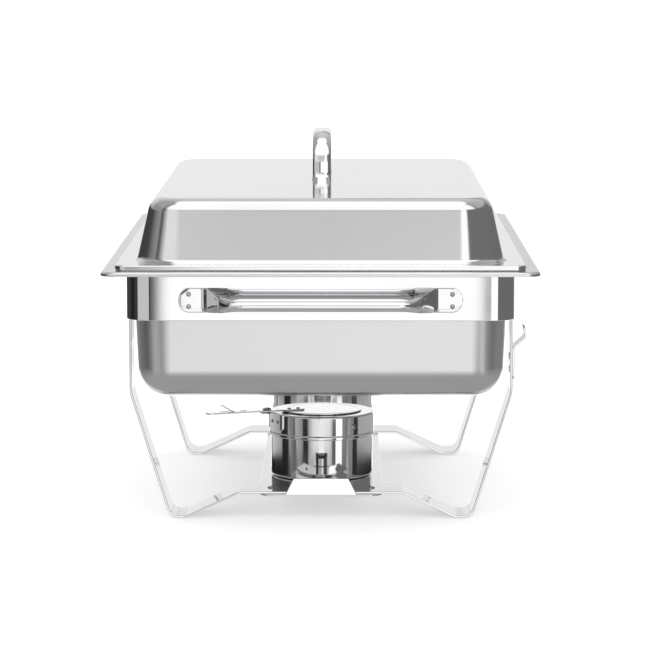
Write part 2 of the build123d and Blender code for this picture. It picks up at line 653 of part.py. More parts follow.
def ring_sector(z, inner, outer, middle_deg, span_deg, turn, centre_y):
    """An annular sector about a burner's axis, at a height."""
    start = middle_deg - span_deg / 2
    inner_start = polar(inner, start, turn, centre_y)
    outer_start = polar(outer, start, turn, centre_y)
    inner_end = polar(inner, start + span_deg, turn, centre_y)
    outer_end = polar(outer, start + span_deg, turn, centre_y)
    with BuildSketch(Plane.XY.offset(z)) as sector:
        with BuildLine():
            ThreePointArc(outer_start, polar(outer, middle_deg, turn, centre_y), outer_end)
            Line(outer_end, inner_end)
            ThreePointArc(inner_end, polar(inner, middle_deg, turn, centre_y), inner_start)
            Line(inner_start, outer_start)
        make_face()
    return sector.sketch


def make_snuffer_bracket(name, centre_y, turn):
    """Curved plate on the cover, with a level ear that holds the pivot."""
    inner = COVER_R + BRACKET_CLEARANCE
    ear_top = COVER_TOP + DISC_GAUGE
    ear_bottom = ear_top - BRACKET_GAUGE
    pivot = polar(PIVOT_AT, LEVER_AZIMUTH, turn, centre_y)
    plate = ring_sector(BRACKET_BOTTOM, inner, inner + BRACKET_GAUGE, BRACKET_AZIMUTH,
                        BRACKET_SPAN, turn, centre_y)
    ear = ring_sector(ear_bottom, inner, EAR_REACH, LEVER_AZIMUTH, EAR_SPAN, turn, centre_y)
    with BuildPart() as bracket:
        extrude(plate, amount=ear_bottom - BRACKET_BOTTOM)
        extrude(ear, amount=BRACKET_GAUGE)
        with BuildSketch(Plane.XY.offset(ear_top)):
            with Locations(pivot):
                Circle(PIVOT_R + HOLE_PLAY)
        extrude(amount=-2 * BRACKET_GAUGE, mode=Mode.SUBTRACT)
        for offset_deg in BRACKET_RIVET_OFFSETS:
            plane = radial_plane(inner, BRACKET_AZIMUTH + offset_deg, turn, centre_y,
                                 BRACKET_RIVET_Z)
            extrude(disc_on(plane, SMALL_RIVET_R + HOLE_PLAY), amount=2 * BRACKET_GAUGE, both=True,
                    mode=Mode.SUBTRACT)
    save(bracket, name)


def make_bracket_rivets(name, centre_y, turn):
    """Two small rivets with domed heads, through the bracket and flush inside the cover."""
    head_at = COVER_R + BRACKET_CLEARANCE + BRACKET_GAUGE
    with BuildPart() as rivets:
        for offset_deg in BRACKET_RIVET_OFFSETS:
            plane = radial_plane(head_at, BRACKET_AZIMUTH + offset_deg, turn, centre_y,
                                 BRACKET_RIVET_Z)
            extrude(disc_on(plane, SMALL_RIVET_R), amount=COVER_R - CUP_GAUGE - head_at)
            extrude(disc_on(plane, SMALL_HEAD_R), amount=SMALL_HEAD, taper=SMALL_TAPER)
    save(rivets, name)


def make_cover_stud(name, centre_y, turn):
    """Small round stud on the side of the cover, away from the bracket."""
    plane = radial_plane(COVER_R + BRACKET_CLEARANCE, STUD_AZIMUTH, turn, centre_y, STUD_Z)
    with BuildPart() as stud:
        extrude(disc_on(plane, SMALL_RIVET_R), amount=-CUP_GAUGE)
        extrude(disc_on(plane, STUD_R), amount=2 * SMALL_HEAD, taper=SMALL_TAPER)
    save(stud, name)


def make_snuffer_disc(name, centre_y, turn):
    """Flat disc that covers the opening, drilled for the rivets of the lever."""
    with BuildPart() as disc:
        with BuildSketch(Plane.XY.offset(DISC_BOTTOM)):
            with Locations((0, centre_y)):
                Circle(DISC_R)
            for radius in LEVER_RIVET_AT:
                with Locations(polar(radius, LEVER_AZIMUTH, turn, centre_y)):
                    Circle(SMALL_RIVET_R + HOLE_PLAY, mode=Mode.SUBTRACT)
        extrude(amount=DISC_GAUGE)
    save(disc, name)


def make_snuffer_lever(name, centre_y, turn):
    """Level strip over the disc, with a hole, a lanced tongue and a round end."""
    length = LEVER_OUTER - LEVER_INNER
    middle = polar((LEVER_OUTER + LEVER_INNER) / 2, LEVER_AZIMUTH, turn, centre_y)
    heading = LEVER_AZIMUTH + turn
    angle = math.radians(heading)
    radial = Vector(math.cos(angle), math.sin(angle), 0)
    across = Vector(math.sin(angle), -math.cos(angle), 0)
    with BuildPart() as lever:
        with BuildSketch(Plane.XY.offset(LEVER_BOTTOM)):
            with Locations(Location((middle[0], middle[1], 0), (0, 0, heading))):
                RectangleRounded(length, LEVER_WIDTH, LEVER_WIDTH * 0.42)
            for radius in LEVER_RIVET_AT:
                with Locations(polar(radius, LEVER_AZIMUTH, turn, centre_y)):
                    Circle(SMALL_RIVET_R + HOLE_PLAY, mode=Mode.SUBTRACT)
            with Locations(polar(LEVER_HOLE_AT, LEVER_AZIMUTH, turn, centre_y)):
                Circle(LEVER_HOLE_R, mode=Mode.SUBTRACT)
            with Locations(polar(PIVOT_AT, LEVER_AZIMUTH, turn, centre_y)):
                Circle(PIVOT_R + PIVOT_PLAY, mode=Mode.SUBTRACT)
            slot_middle = polar((TONGUE_ROOT + TONGUE_TIP) / 2, LEVER_AZIMUTH, turn, centre_y)
            slot_length = TONGUE_TIP - TONGUE_ROOT
            with Locations(Location((slot_middle[0], slot_middle[1], 0), (0, 0, heading))):
                Rectangle(slot_length, TONGUE_WIDTH + 2 * TONGUE_SLOT_PLAY, mode=Mode.SUBTRACT)
        extrude(amount=LEVER_GAUGE)
        root_x, root_y = polar(TONGUE_ROOT, LEVER_AZIMUTH, turn, centre_y)
        side_view = Plane(origin=(root_x, root_y, LEVER_BOTTOM), x_dir=radial, z_dir=across)
        with BuildSketch(side_view):
            with BuildLine():
                Polyline((-TONGUE_LAP, 0), (TONGUE_LAP, 0), (slot_length, TONGUE_RISE),
                         (slot_length, TONGUE_RISE + LEVER_GAUGE), (TONGUE_LAP, LEVER_GAUGE),
                         (-TONGUE_LAP, LEVER_GAUGE), close=True)
            make_face()
        extrude(amount=TONGUE_WIDTH / 2, both=True)
    save(lever, name)


def make_lever_rivets(name, centre_y, turn):
    """Rivets from the lever into the disc, flush under the disc."""
    places = [polar(radius, LEVER_AZIMUTH, turn, centre_y) for radius in LEVER_RIVET_AT]
    with BuildPart() as rivets:
        with BuildSketch(Plane.XY.offset(DISC_BOTTOM)):
            with Locations(*places):
                Circle(SMALL_RIVET_R)
        extrude(amount=LEVER_TOP - DISC_BOTTOM)
        with BuildSketch(Plane.XY.offset(LEVER_TOP)):
            with Locations(*places):
                Circle(SMALL_HEAD_R)
        extrude(amount=SMALL_HEAD, taper=SMALL_TAPER)
    save(rivets, name)


def make_pivot_rivet(name, centre_y, turn):
    """Upright pin, fixed in the ear, that the lever turns on."""
    ear_bottom = COVER_TOP + DISC_GAUGE - BRACKET_GAUGE
    head_bottom = LEVER_TOP + DISC_GAP
    pivot = polar(PIVOT_AT, LEVER_AZIMUTH, turn, centre_y)
    with BuildPart() as rivet:
        with BuildSketch(Plane.XY.offset(ear_bottom)):
            with Locations(pivot):
                Circle(PIVOT_R)
        extrude(amount=head_bottom - ear_bottom)
        with BuildSketch(Plane.XY.offset(ear_bottom)):
            with Locations(pivot):
                Circle(RIVET_TAIL_R)
        extrude(amount=-RIVET_TAIL)
        with BuildSketch(Plane.XY.offset(head_bottom)):
            with Locations(pivot):
                Circle(PIVOT_HEAD_R)
        extrude(amount=PIVOT_HEAD, taper=RIVET_TAPER)
    save(rivet, name)


make_water_pan()
make_food_pan()
make_lid_shell()
make_lid_handle()
make_lid_fasteners()
make_frame_band()
make_leg_strip("front_leg_strip", -STRIP_Y)
make_leg_strip("rear_leg_strip", STRIP_Y)
make_leg_rivets()
make_lid_hook("front_lid_hook", -STRIP_Y)
make_lid_hook("rear_lid_hook", STRIP_Y)
make_lid_hook_rivets()
make_burner_shelf()
make_shelf_rivets()
for end_name, end_side in (("front", -1), ("rear", 1)):
    make_carry_handle(f"{end_name}_carry_handle", end_side)
    make_handle_rivets(f"{end_name}_handle_rivets", end_side)
# The rear burner is the front one turned half round about the middle of the dish.
for end_name, burner_y, half_turn in (("front", -BURNER_Y, 0), ("rear", BURNER_Y, 180)):
    make_burner_cup(f"{end_name}_burner_cup", burner_y)
    make_burner_cover(f"{end_name}_burner_cover", burner_y, half_turn)
    make_snuffer_bracket(f"{end_name}_snuffer_bracket", burner_y, half_turn)
    make_bracket_rivets(f"{end_name}_bracket_rivets", burner_y, half_turn)
    make_cover_stud(f"{end_name}_cover_stud", burner_y, half_turn)
    make_pivot_rivet(f"{end_name}_pivot_rivet", burner_y, half_turn)
    make_snuffer_disc(f"{end_name}_snuffer_disc", burner_y, half_turn)
    make_snuffer_lever(f"{end_name}_snuffer_lever", burner_y, half_turn)
    make_lever_rivets(f"{end_name}_lever_rivets", burner_y, half_turn)
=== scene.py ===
import math

import bmesh
import bpy
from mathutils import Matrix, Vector


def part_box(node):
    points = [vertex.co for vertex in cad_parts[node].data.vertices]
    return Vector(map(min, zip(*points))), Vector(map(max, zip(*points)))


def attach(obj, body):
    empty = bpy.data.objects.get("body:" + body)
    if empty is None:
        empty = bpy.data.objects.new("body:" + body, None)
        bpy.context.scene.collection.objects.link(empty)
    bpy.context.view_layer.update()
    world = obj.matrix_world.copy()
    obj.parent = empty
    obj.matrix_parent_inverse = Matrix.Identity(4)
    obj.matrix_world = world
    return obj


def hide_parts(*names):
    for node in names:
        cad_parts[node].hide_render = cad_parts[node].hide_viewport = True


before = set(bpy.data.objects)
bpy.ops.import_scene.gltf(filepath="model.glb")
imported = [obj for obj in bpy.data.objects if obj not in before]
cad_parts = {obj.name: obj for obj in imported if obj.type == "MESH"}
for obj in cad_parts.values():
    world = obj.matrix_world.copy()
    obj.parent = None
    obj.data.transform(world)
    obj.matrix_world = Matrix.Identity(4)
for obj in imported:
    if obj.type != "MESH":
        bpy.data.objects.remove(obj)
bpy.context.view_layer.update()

# Sizes are written in millimetres and turned into metres by MM.
MM = 0.001


# ---------------------------------------------------------------- steel finishes

# Nearly all of a noise texture lies between these values.
NOISE_LOW = 0.3
NOISE_HIGH = 0.7
# A face counts as an end face when its normal has more than this along Y.
END_FACE_LIMIT = 0.75
STREAK_ROUGHNESS = 0.01


def math_node(tree, operation, first, second=None, third=None):
    """A Math node whose inputs are sockets or numbers; gives its output socket."""
    node = tree.nodes.new("ShaderNodeMath")
    node.operation = operation
    for slot, value in enumerate((first, second, third)):
        if value is None:
            continue
        if isinstance(value, bpy.types.NodeSocket):
            tree.links.new(value, node.inputs[slot])
        else:
            node.inputs[slot].default_value = value
    return node.outputs[0]


def noise(tree, place, scale, detail, stretch=(1, 1, 1)):
    """Noise over the object's own coordinates, stretched along chosen axes."""
    mapping = tree.nodes.new("ShaderNodeMapping")
    mapping.inputs["Scale"].default_value = stretch
    tree.links.new(place, mapping.inputs["Vector"])
    texture = tree.nodes.new("ShaderNodeTexNoise")
    texture.inputs["Scale"].default_value = scale
    texture.inputs["Detail"].default_value = detail
    tree.links.new(mapping.outputs["Vector"], texture.inputs["Vector"])
    return texture.outputs["Fac"]


def spread(tree, value, low, high, start=NOISE_LOW, end=NOISE_HIGH):
    """Map noise onto a range of numbers."""
    node = tree.nodes.new("ShaderNodeMapRange")
    node.inputs["From Min"].default_value = start
    node.inputs["From Max"].default_value = end
    node.inputs["To Min"].default_value = low
    node.inputs["To Max"].default_value = high
    tree.links.new(value, node.inputs["Value"])
    return node.outputs["Result"]


def tint(tree, value, dark, light):
    """Blend two colours by noise."""
    ramp = tree.nodes.new("ShaderNodeValToRGB")
    ramp.color_ramp.elements[0].position = NOISE_LOW
    ramp.color_ramp.elements[0].color = (*dark, 1)
    ramp.color_ramp.elements[1].position = NOISE_HIGH
    ramp.color_ramp.elements[1].color = (*light, 1)
    tree.links.new(value, ramp.inputs["Fac"])
    return ramp.outputs["Color"]


def bump(tree, height, strength, distance, normal=None):
    """Bump from a height socket, on top of another bump if one is given."""
    node = tree.nodes.new("ShaderNodeBump")
    node.inputs["Strength"].default_value = strength
    node.inputs["Distance"].default_value = distance
    tree.links.new(height, node.inputs["Height"])
    if normal is not None:
        tree.links.new(normal, node.inputs["Normal"])
    return node.outputs["Normal"]


def start_steel(name):
    """An empty steel material; gives its tree, shader and object coordinates."""
    material = bpy.data.materials.new(name)
    material.use_nodes = True
    tree = material.node_tree
    shader = tree.nodes["Principled BSDF"]
    shader.inputs["Metallic"].default_value = 1.0
    place = tree.nodes.new("ShaderNodeTexCoord").outputs["Object"]
    return material, tree, shader, place


def polished_steel(name, dark, light, rough_low, rough_high, wave):
    """Mirror-polished sheet: faint smudges, hair scratches and the slow waves of pressed sheet."""
    material, tree, shader, place = start_steel(name)
    smudge = noise(tree, place, scale=22, detail=3)
    scratch = noise(tree, place, scale=900, detail=2, stretch=(1, 0.06, 1))
    ripple = noise(tree, place, scale=14, detail=1)
    tree.links.new(tint(tree, smudge, dark, light), shader.inputs["Base Color"])
    rough = math_node(tree, "ADD", spread(tree, smudge, rough_low, rough_high),
                      spread(tree, scratch, low=0, high=0.02, start=0.6, end=0.8))
    tree.links.new(rough, shader.inputs["Roughness"])
    normal = bump(tree, ripple, strength=wave, distance=1 * MM)
    normal = bump(tree, scratch, strength=0.02, distance=0.02 * MM, normal=normal)
    tree.links.new(normal, shader.inputs["Normal"])
    return material


def satin_steel(name, dark, light, rough_low, rough_high, brush):
    """Brushed sheet: fine grain along Y, or along X on the end faces, with cloudy variation."""
    material, tree, shader, place = start_steel(name)
    cloud = noise(tree, place, scale=9, detail=3)
    grain = noise(tree, place, scale=1400, detail=3, stretch=(1, 0.02, 1))
    cross = noise(tree, place, scale=1400, detail=3, stretch=(0.02, 1, 1))
    geometry = tree.nodes.new("ShaderNodeNewGeometry")
    parts = tree.nodes.new("ShaderNodeSeparateXYZ")
    tree.links.new(geometry.outputs["True Normal"], parts.inputs["Vector"])
    facing_y = math_node(tree, "ABSOLUTE", parts.outputs["Y"])
    end_face = math_node(tree, "GREATER_THAN", facing_y, END_FACE_LIMIT)
    mix = tree.nodes.new("ShaderNodeMix")
    tree.links.new(end_face, mix.inputs["Factor"])
    tree.links.new(grain, mix.inputs["A"])
    tree.links.new(cross, mix.inputs["B"])
    streaks = mix.outputs["Result"]
    tree.links.new(tint(tree, cloud, dark, light), shader.inputs["Base Color"])
    rough = math_node(tree, "ADD", spread(tree, cloud, rough_low, rough_high),
                      spread(tree, streaks, -STREAK_ROUGHNESS, STREAK_ROUGHNESS))
    tree.links.new(rough, shader.inputs["Roughness"])
    normal = bump(tree, cloud, strength=0.1, distance=0.4 * MM)
    normal = bump(tree, streaks, strength=brush, distance=0.03 * MM, normal=normal)
    tree.links.new(normal, shader.inputs["Normal"])
    return material


# Each finish is the name of its slot and its material.
POLISHED = "polished_steel", polished_steel(
    "polished_steel", dark=(0.80, 0.80, 0.81), light=(0.86, 0.86, 0.87),
    rough_low=0.03, rough_high=0.07, wave=0.03)
BAND_STEEL = "polished_steel", polished_steel(
    "band_steel", dark=(0.81, 0.81, 0.82), light=(0.85, 0.85, 0.86),
    rough_low=0.01, rough_high=0.03, wave=0.01)
BURNER_STEEL = "burner_steel", polished_steel(
    "burner_steel", dark=(0.80, 0.80, 0.81), light=(0.87, 0.87, 0.88),
    rough_low=0.02, rough_high=0.06, wave=0.03)
LID_STEEL = "satin_steel", satin_steel(
    "lid_steel", dark=(0.80, 0.80, 0.80), light=(0.84, 0.84, 0.84),
    rough_low=0.09, rough_high=0.12, brush=0.02)
PAN_STEEL = "satin_steel", satin_steel(
    "pan_steel", dark=(0.72, 0.72, 0.72), light=(0.76, 0.76, 0.76),
    rough_low=0.22, rough_high=0.25, brush=0.008)
FASTENER = "fastener_steel", polished_steel(
    "fastener_steel", dark=(0.42, 0.42, 0.43), light=(0.54, 0.54, 0.55),
    rough_low=0.12, rough_high=0.22, wave=0.02)


# ---------------------------------------------------------------- mesh building

WELD = 1e-7  # points closer than this, in metres, become one
SHARP_ANGLE = math.radians(38)


class Builder:
    """Collects rings of points and the faces between them, then makes one object."""

    def __init__(self):
        self.points = []
        self.faces = []

    def ring(self, points):
        first = len(self.points)
        self.points.extend(points)
        return list(range(first, len(self.points)))

    def bridge(self, ring, other):
        """Faces between two closed rings of the same length, or from a ring to a single point."""
        count = max(len(ring), len(other))
        for k in range(count):
            after = (k + 1) % count
            if len(other) == 1:
                self.faces.append((ring[k], ring[after], other[0]))
            elif len(ring) == 1:
                self.faces.append((ring[0], other[after], other[k]))
            else:
                self.faces.append((ring[k], ring[after], other[after], other[k]))

    def skin(self, rings, closed=False):
        """Bridge a run of rings; closed joins the last to the first, or both ends are filled."""
        laid = [self.ring(points) for points in rings]
        for ring, other in zip(laid, laid[1:]):
            self.bridge(ring, other)
        if closed:
            self.bridge(laid[-1], laid[0])
            return self
        for end in (laid[0], laid[-1]):
            if len(end) > 2:
                self.faces.append(tuple(end))
        return self

    def add_mesh(self, mesh):
        """Take over a mesh, and remove it."""
        first = len(self.points)
        self.points.extend(vertex.co.copy() for vertex in mesh.vertices)
        self.faces.extend(tuple(first + k for k in face.vertices) for face in mesh.polygons)
        bpy.data.meshes.remove(mesh)
        return self

    def make(self, name, body, finish, *nodes):
        """One smooth object that rides on a body and stands for its CAD nodes."""
        slot, material = finish
        mesh = bpy.data.meshes.new(name)
        mesh.from_pydata([tuple(point) for point in self.points], [], self.faces)
        work = bmesh.new()
        work.from_mesh(mesh)
        bmesh.ops.remove_doubles(work, verts=work.verts, dist=WELD)
        bmesh.ops.dissolve_degenerate(work, edges=work.edges, dist=WELD)
        bmesh.ops.recalc_face_normals(work, faces=work.faces)
        work.to_mesh(mesh)
        work.free()
        mesh.shade_smooth()
        mesh.set_sharp_from_angle(angle=SHARP_ANGLE)
        mesh.materials.append(material)
        piece = bpy.data.objects.new(name, mesh)
        bpy.context.scene.collection.objects.link(piece)
        weighted = piece.modifiers.new("weighted", "WEIGHTED_NORMAL")
        weighted.keep_sharp = True
        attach(piece, body)
        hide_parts(*nodes)
        return piece


def rounded_path(points, radii, closed, step):
    """Flat points with each corner rounded by an arc, in steps of so many degrees."""
    path = []
    last = len(points) - 1
    for index, (corner, radius) in enumerate(zip(points, radii)):
        corner = Vector(corner)
        if radius == 0 or (not closed and index in (0, last)):
            path.append(corner)
            continue
        before = (corner - Vector(points[index - 1])).normalized()
        after = (Vector(points[(index + 1) % len(points)]) - corner).normalized()
        turn = math.atan2(before.x * after.y - before.y * after.x, before.dot(after))
        start = corner - before * radius * math.tan(abs(turn) / 2)
        centre = start + Vector((-before.y, before.x)) * math.copysign(radius, turn)
        arm = start - centre
        count = max(2, math.ceil(abs(math.degrees(turn)) / step))
        for k in range(count + 1):
            angle = turn * k / count
            path.append(centre + Vector((arm.x * math.cos(angle) - arm.y * math.sin(angle),
                                         arm.x * math.sin(angle) + arm.y * math.cos(angle))))
    return path


def bent_outline(rows, step, closed=False):
    """A rounded path, from rows of (x, y, radius)."""
    points = [(x, y) for x, y, _ in rows]
    return rounded_path(points, [radius for _, _, radius in rows], closed, step)


def closed_section(rows):
    """A closed flat outline with rounded corners, from rows of (x, y, radius)."""
    return bent_outline(rows, step=22, closed=True)


def subdivide(path, parts):
    """Add even points to a path; parts(point, other) says how many pieces a stretch gets."""
    fine = []
    for point, other in zip(path, path[1:]):
        count = max(1, parts(point, other))
        fine += [point.lerp(other, k / count) for k in range(count)]
    return fine + [path[-1]]


def signed_power(value, power):
    """The power of a number's size, with the sign of the number."""
    return math.copysign(abs(value) ** power, value)


def path_frames(path):
    """For each point of an open flat path: its unit left normal and its distance along the path."""
    frames = []
    distance = 0
    for index, point in enumerate(path):
        if index:
            distance += (point - path[index - 1]).length
        along = path[min(index + 1, len(path) - 1)] - path[max(index - 1, 0)]
        along.normalize()
        frames.append((Vector((-along.y, along.x)), distance))
    return frames


def rect_ring(half_x, half_y, radius, z, per_corner=16):
    """A level rounded rectangle about the Z axis, in metres."""
    ring = []
    for quarter, (side_x, side_y) in enumerate(((1, 1), (-1, 1), (-1, -1), (1, -1))):
        for k in range(per_corner + 1):
            angle = (quarter + k / per_corner) * math.pi / 2
            ring.append(Vector((side_x * (half_x - radius) + radius * math.cos(angle),
                                side_y * (half_y - radius) + radius * math.sin(angle), z)) * MM)
    return ring


def tray_rings(profile, half_x, half_y, corner_at):
    """Rings for a rectangular pressing; the profile gives outward offset and height."""
    return [rect_ring(half_x + out, half_y + out, corner_at(out), z) for out, z in profile]


def axis_rings(profile, base, outward, segments):
    """Rings for a turned shape: the profile gives radius and distance along the axis."""
    outward = Vector(outward).normalized()
    sideways = outward.orthogonal().normalized()
    upright = outward.cross(sideways)
    base = Vector(base)
    rings = []
    for radius, along in profile:
        centre = base + outward * along
        if radius == 0:
            rings.append([centre * MM])
            continue
        rings.append([(centre + (sideways * math.cos(2 * math.pi * k / segments)
                                 + upright * math.sin(2 * math.pi * k / segments)) * radius) * MM
                      for k in range(segments)])
    return rings


def strip_rings(path, thickness, half_width, place, edge=0.5, bevel=0.4):
    """Rings along a bent strip whose outer face follows the path; its body is on the left.

    half_width(distance, length) gives half the width along the path, and place(point, across)
    turns a flat point and a distance across the strip into a point in space.
    """
    frames = path_frames(path)
    length = frames[-1][1]
    edge = min(edge, thickness * 0.45)  # under half, so that the two roundings don't meet
    most_lost = 0.6  # share of the rounding that a bevelled end gives up at most

    def ring(point, normal, distance, shrink):
        half = half_width(distance, length) - shrink
        corners = [(shrink, -half), (thickness - shrink, -half),
                   (thickness - shrink, half), (shrink, half)]
        rounding = edge - min(shrink, edge * most_lost)
        section = rounded_path(corners, [rounding] * 4, closed=True, step=30)
        return [place(point + normal * depth, across) * MM for depth, across in section]

    first = (path[1] - path[0]).normalized() * bevel
    last = (path[-2] - path[-1]).normalized() * bevel
    rings = [ring(path[0], frames[0][0], 0, bevel), ring(path[0] + first, frames[0][0], 0, 0)]
    for point, (normal, distance) in zip(path[1:-1], frames[1:-1]):
        rings.append(ring(point, normal, distance, 0))
    rings.append(ring(path[-1] + last, frames[-1][0], length, 0))
    rings.append(ring(path[-1], frames[-1][0], length, bevel))
    return rings


def plate_mesh(outlines, z, thickness, bevel):
    """A level plate with holes and rounded edges, as a mesh; outlines are lists of flat points."""
    curve = bpy.data.curves.new("outline", "CURVE")
    curve.dimensions = "2D"
    curve.fill_mode = "BOTH"
    curve.extrude = (thickness / 2 - bevel) * MM
    curve.bevel_depth = bevel * MM
    curve.bevel_resolution = 2
    curve.offset = -bevel * MM
    for outline in outlines:
        spline = curve.splines.new("POLY")
        spline.points.add(len(outline) - 1)
        for point, (x, y) in zip(spline.points, outline):
            point.co = (x * MM, y * MM, 0, 1)
        spline.use_cyclic_u = True
    holder = bpy.data.objects.new("outline", curve)
    mesh = bpy.data.meshes.new_from_object(holder)
    for vertex in mesh.vertices:
        vertex.co.z += (z + thickness / 2) * MM
    bpy.data.objects.remove(holder)
    bpy.data.curves.remove(curve)
    return mesh


def rivet_profile(head_radius, head_height, shank_radius, shank_length, tail_radius, tail_height):
    """Half outline of a rivet with a domed head; it sits on the face at distance 0."""
    rim = 0.14  # height of the dome's foot, as a share of the head
    rim_low = 0.1  # where the side of the head begins
    seat = 0.97  # radius that touches the face, as a share of the head
    tail_straight = 0.7
    tail_end = 0.85
    profile = [(0, head_height)]
    for degrees in (75, 60, 45, 30, 18, 8):
        angle = math.radians(degrees)
        profile.append((head_radius * math.cos(angle),
                        head_height * (rim + (1 - rim) * math.sin(angle))))
    profile += [(head_radius, head_height * rim_low), (head_radius * seat, 0), (shank_radius, 0),
                (shank_radius, -shank_length)]
    if tail_height > 0:
        profile += [(tail_radius, -shank_length),
                    (tail_radius, -shank_length - tail_height * tail_straight),
                    (tail_radius * tail_end, -shank_length - tail_height)]
    profile.append((0, profile[-1][1]))
    return profile


def box_mm(node):
    """The lowest and highest corners of a CAD node, in millimetres."""
    low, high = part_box(node)
    return Vector(low) / MM, Vector(high) / MM


# ---------------------------------------------------------------- lid

LID_SHEET = 0.8
HANDLE_FOOT_Y = 50.0  # the handle's feet stand this far from the middle of the lid


def make_lid_shell():
    """Cover with a rolled rim, leaning walls that sweep out into the rim, and a crowned top."""
    low, high = box_mm("lid_shell")
    sheet = LID_SHEET
    hem = 1.8
    flange = 14.3
    rim_corner = 9.0
    body_corner = 40.0
    least_corner = 3
    rim_top = 222.5
    root_out = -0.6  # where the line of the wall meets the rim
    foot_z, foot_out = 226.5, -1.5  # the wall just above the rim
    lean = math.radians(13)
    crown = 0.7
    crown_run = 92
    shoulder = 20  # the crown begins this far in from the top of the wall
    top_bend = 13
    foot_bend = 4.5
    rim_bend = 1.3
    hem_bend = 0.85
    edge_z = high.z - crown
    wall_top = foot_out - (edge_z - foot_z) * math.tan(lean)

    def corner_at(out):
        if out <= 0:
            return max(body_corner + out, least_corner)
        share = min(1, out / (flange - hem))
        return body_corner + (rim_corner - hem - body_corner) * share + max(0, out - flange + hem)

    outside = bent_outline([
        (wall_top - shoulder, edge_z, 0), (wall_top, edge_z, top_bend),
        (root_out, rim_top, foot_bend), (flange, rim_top, rim_bend),
        (flange, low.z, hem_bend), (flange - hem, low.z, hem_bend),
        (flange - hem, rim_top - sheet, 0.3), (flange - hem - 2, rim_top - sheet, 0)], step=5)
    inside = bent_outline([
        (flange - hem - 3, rim_top - sheet, 0),
        (root_out - sheet, rim_top - sheet, foot_bend + sheet),
        (wall_top - sheet, edge_z - sheet, top_bend - sheet),
        (wall_top - shoulder, edge_z - sheet, 0)], step=6)
    panel = [(wall_top - inset, crown * math.sin((inset - shoulder) / crown_run * math.pi / 2))
             for inset in (shoulder + crown_run, 92, 74, 58, 44, 34, 26)]
    profile = [(out, edge_z + rise) for out, rise in panel] + outside + inside
    profile += [(out, edge_z - sheet + rise) for out, rise in reversed(panel)]
    rings = tray_rings(profile, high.x - flange, high.y - flange, corner_at)
    Builder().skin(rings).make("lid_shell_pressed", "lid", LID_STEEL, "lid_shell")


def make_lid_handle():
    """Arched strap, rounded on its outside, that broadens into a foot at each end."""
    low, high = box_mm("lid_handle")
    bend = 26
    half_width = 7.9
    outer_depth = 3.3
    inner_depth = 2.7
    foot_length = 7
    foot_widening = 0.6
    foot_thickening = 5.0
    side_power = 0.8
    outer_power = 0.86
    inner_power = 0.5
    around = 48
    spacing = 2.5
    strap_z = high.z - outer_depth
    path = bent_outline([(-HANDLE_FOOT_Y, low.z, 0), (-HANDLE_FOOT_Y, strap_z, bend),
                         (HANDLE_FOOT_Y, strap_z, bend), (HANDLE_FOOT_Y, low.z, 0)], step=4)
    path = subdivide(path, lambda point, other: round((other - point).length / spacing))
    frames = path_frames(path)
    length = frames[-1][1]
    rings = []
    for point, (normal, distance) in zip(path, frames):
        flare = max(0, 1 - min(distance, length - distance) / foot_length) ** 2
        ring = []
        for k in range(around):
            angle = 2 * math.pi * k / around
            c, s = math.cos(angle), math.sin(angle)
            across = (half_width + foot_widening * flare) * signed_power(c, side_power)
            side_depth, power = (outer_depth, outer_power) if s < 0 else (inner_depth, inner_power)
            depth = (side_depth + foot_thickening * flare) * signed_power(s, power)
            spot = point - normal * depth
            ring.append(Vector((across, spot.x, spot.y)) * MM)
        rings.append(ring)
    Builder().skin(rings).make("lid_handle_strap", "lid", POLISHED, "lid_handle")


def make_lid_fasteners():
    """Screws from inside the lid, each with a washer under its head."""
    bore = 2.1
    washer_radius = 6
    washer = 1.0
    head = 3.6
    shank = 2.0
    shank_length = 8
    tip = 0.8
    # The head has a raised middle, a ring groove and a rounded edge.
    face = [(0, 2.2), (1.4, 2.2), (1.6, 1.5), (shank, 1.4), (2.7, 2.0), (3.3, 1.5), (head, 0.8)]
    screw = [(radius, washer + rise) for radius, rise in face]
    screw += [(head, washer), (shank, washer), (shank, -shank_length), (0, -shank_length - tip)]
    ring = closed_section([(bore, 0, 0.1), (washer_radius, 0, 0.25), (washer_radius, washer, 0.25),
                           (bore, washer, 0.1)])
    ceiling = box_mm("lid_shell")[1].z - LID_SHEET
    down = (0, 0, -1)
    washers = Builder()
    screws = Builder()
    for y in (-HANDLE_FOOT_Y, HANDLE_FOOT_Y):
        washers.skin(axis_rings(ring, (0, y, ceiling), down, 64), closed=True)
        screws.skin(axis_rings(screw, (0, y, ceiling), down, 48))
    washers.make("lid_washers_turned", "lid", FASTENER, "lid_handle_washers")
    screws.make("lid_screws_turned", "lid", FASTENER, "lid_handle_screws")


# ---------------------------------------------------------------- pans

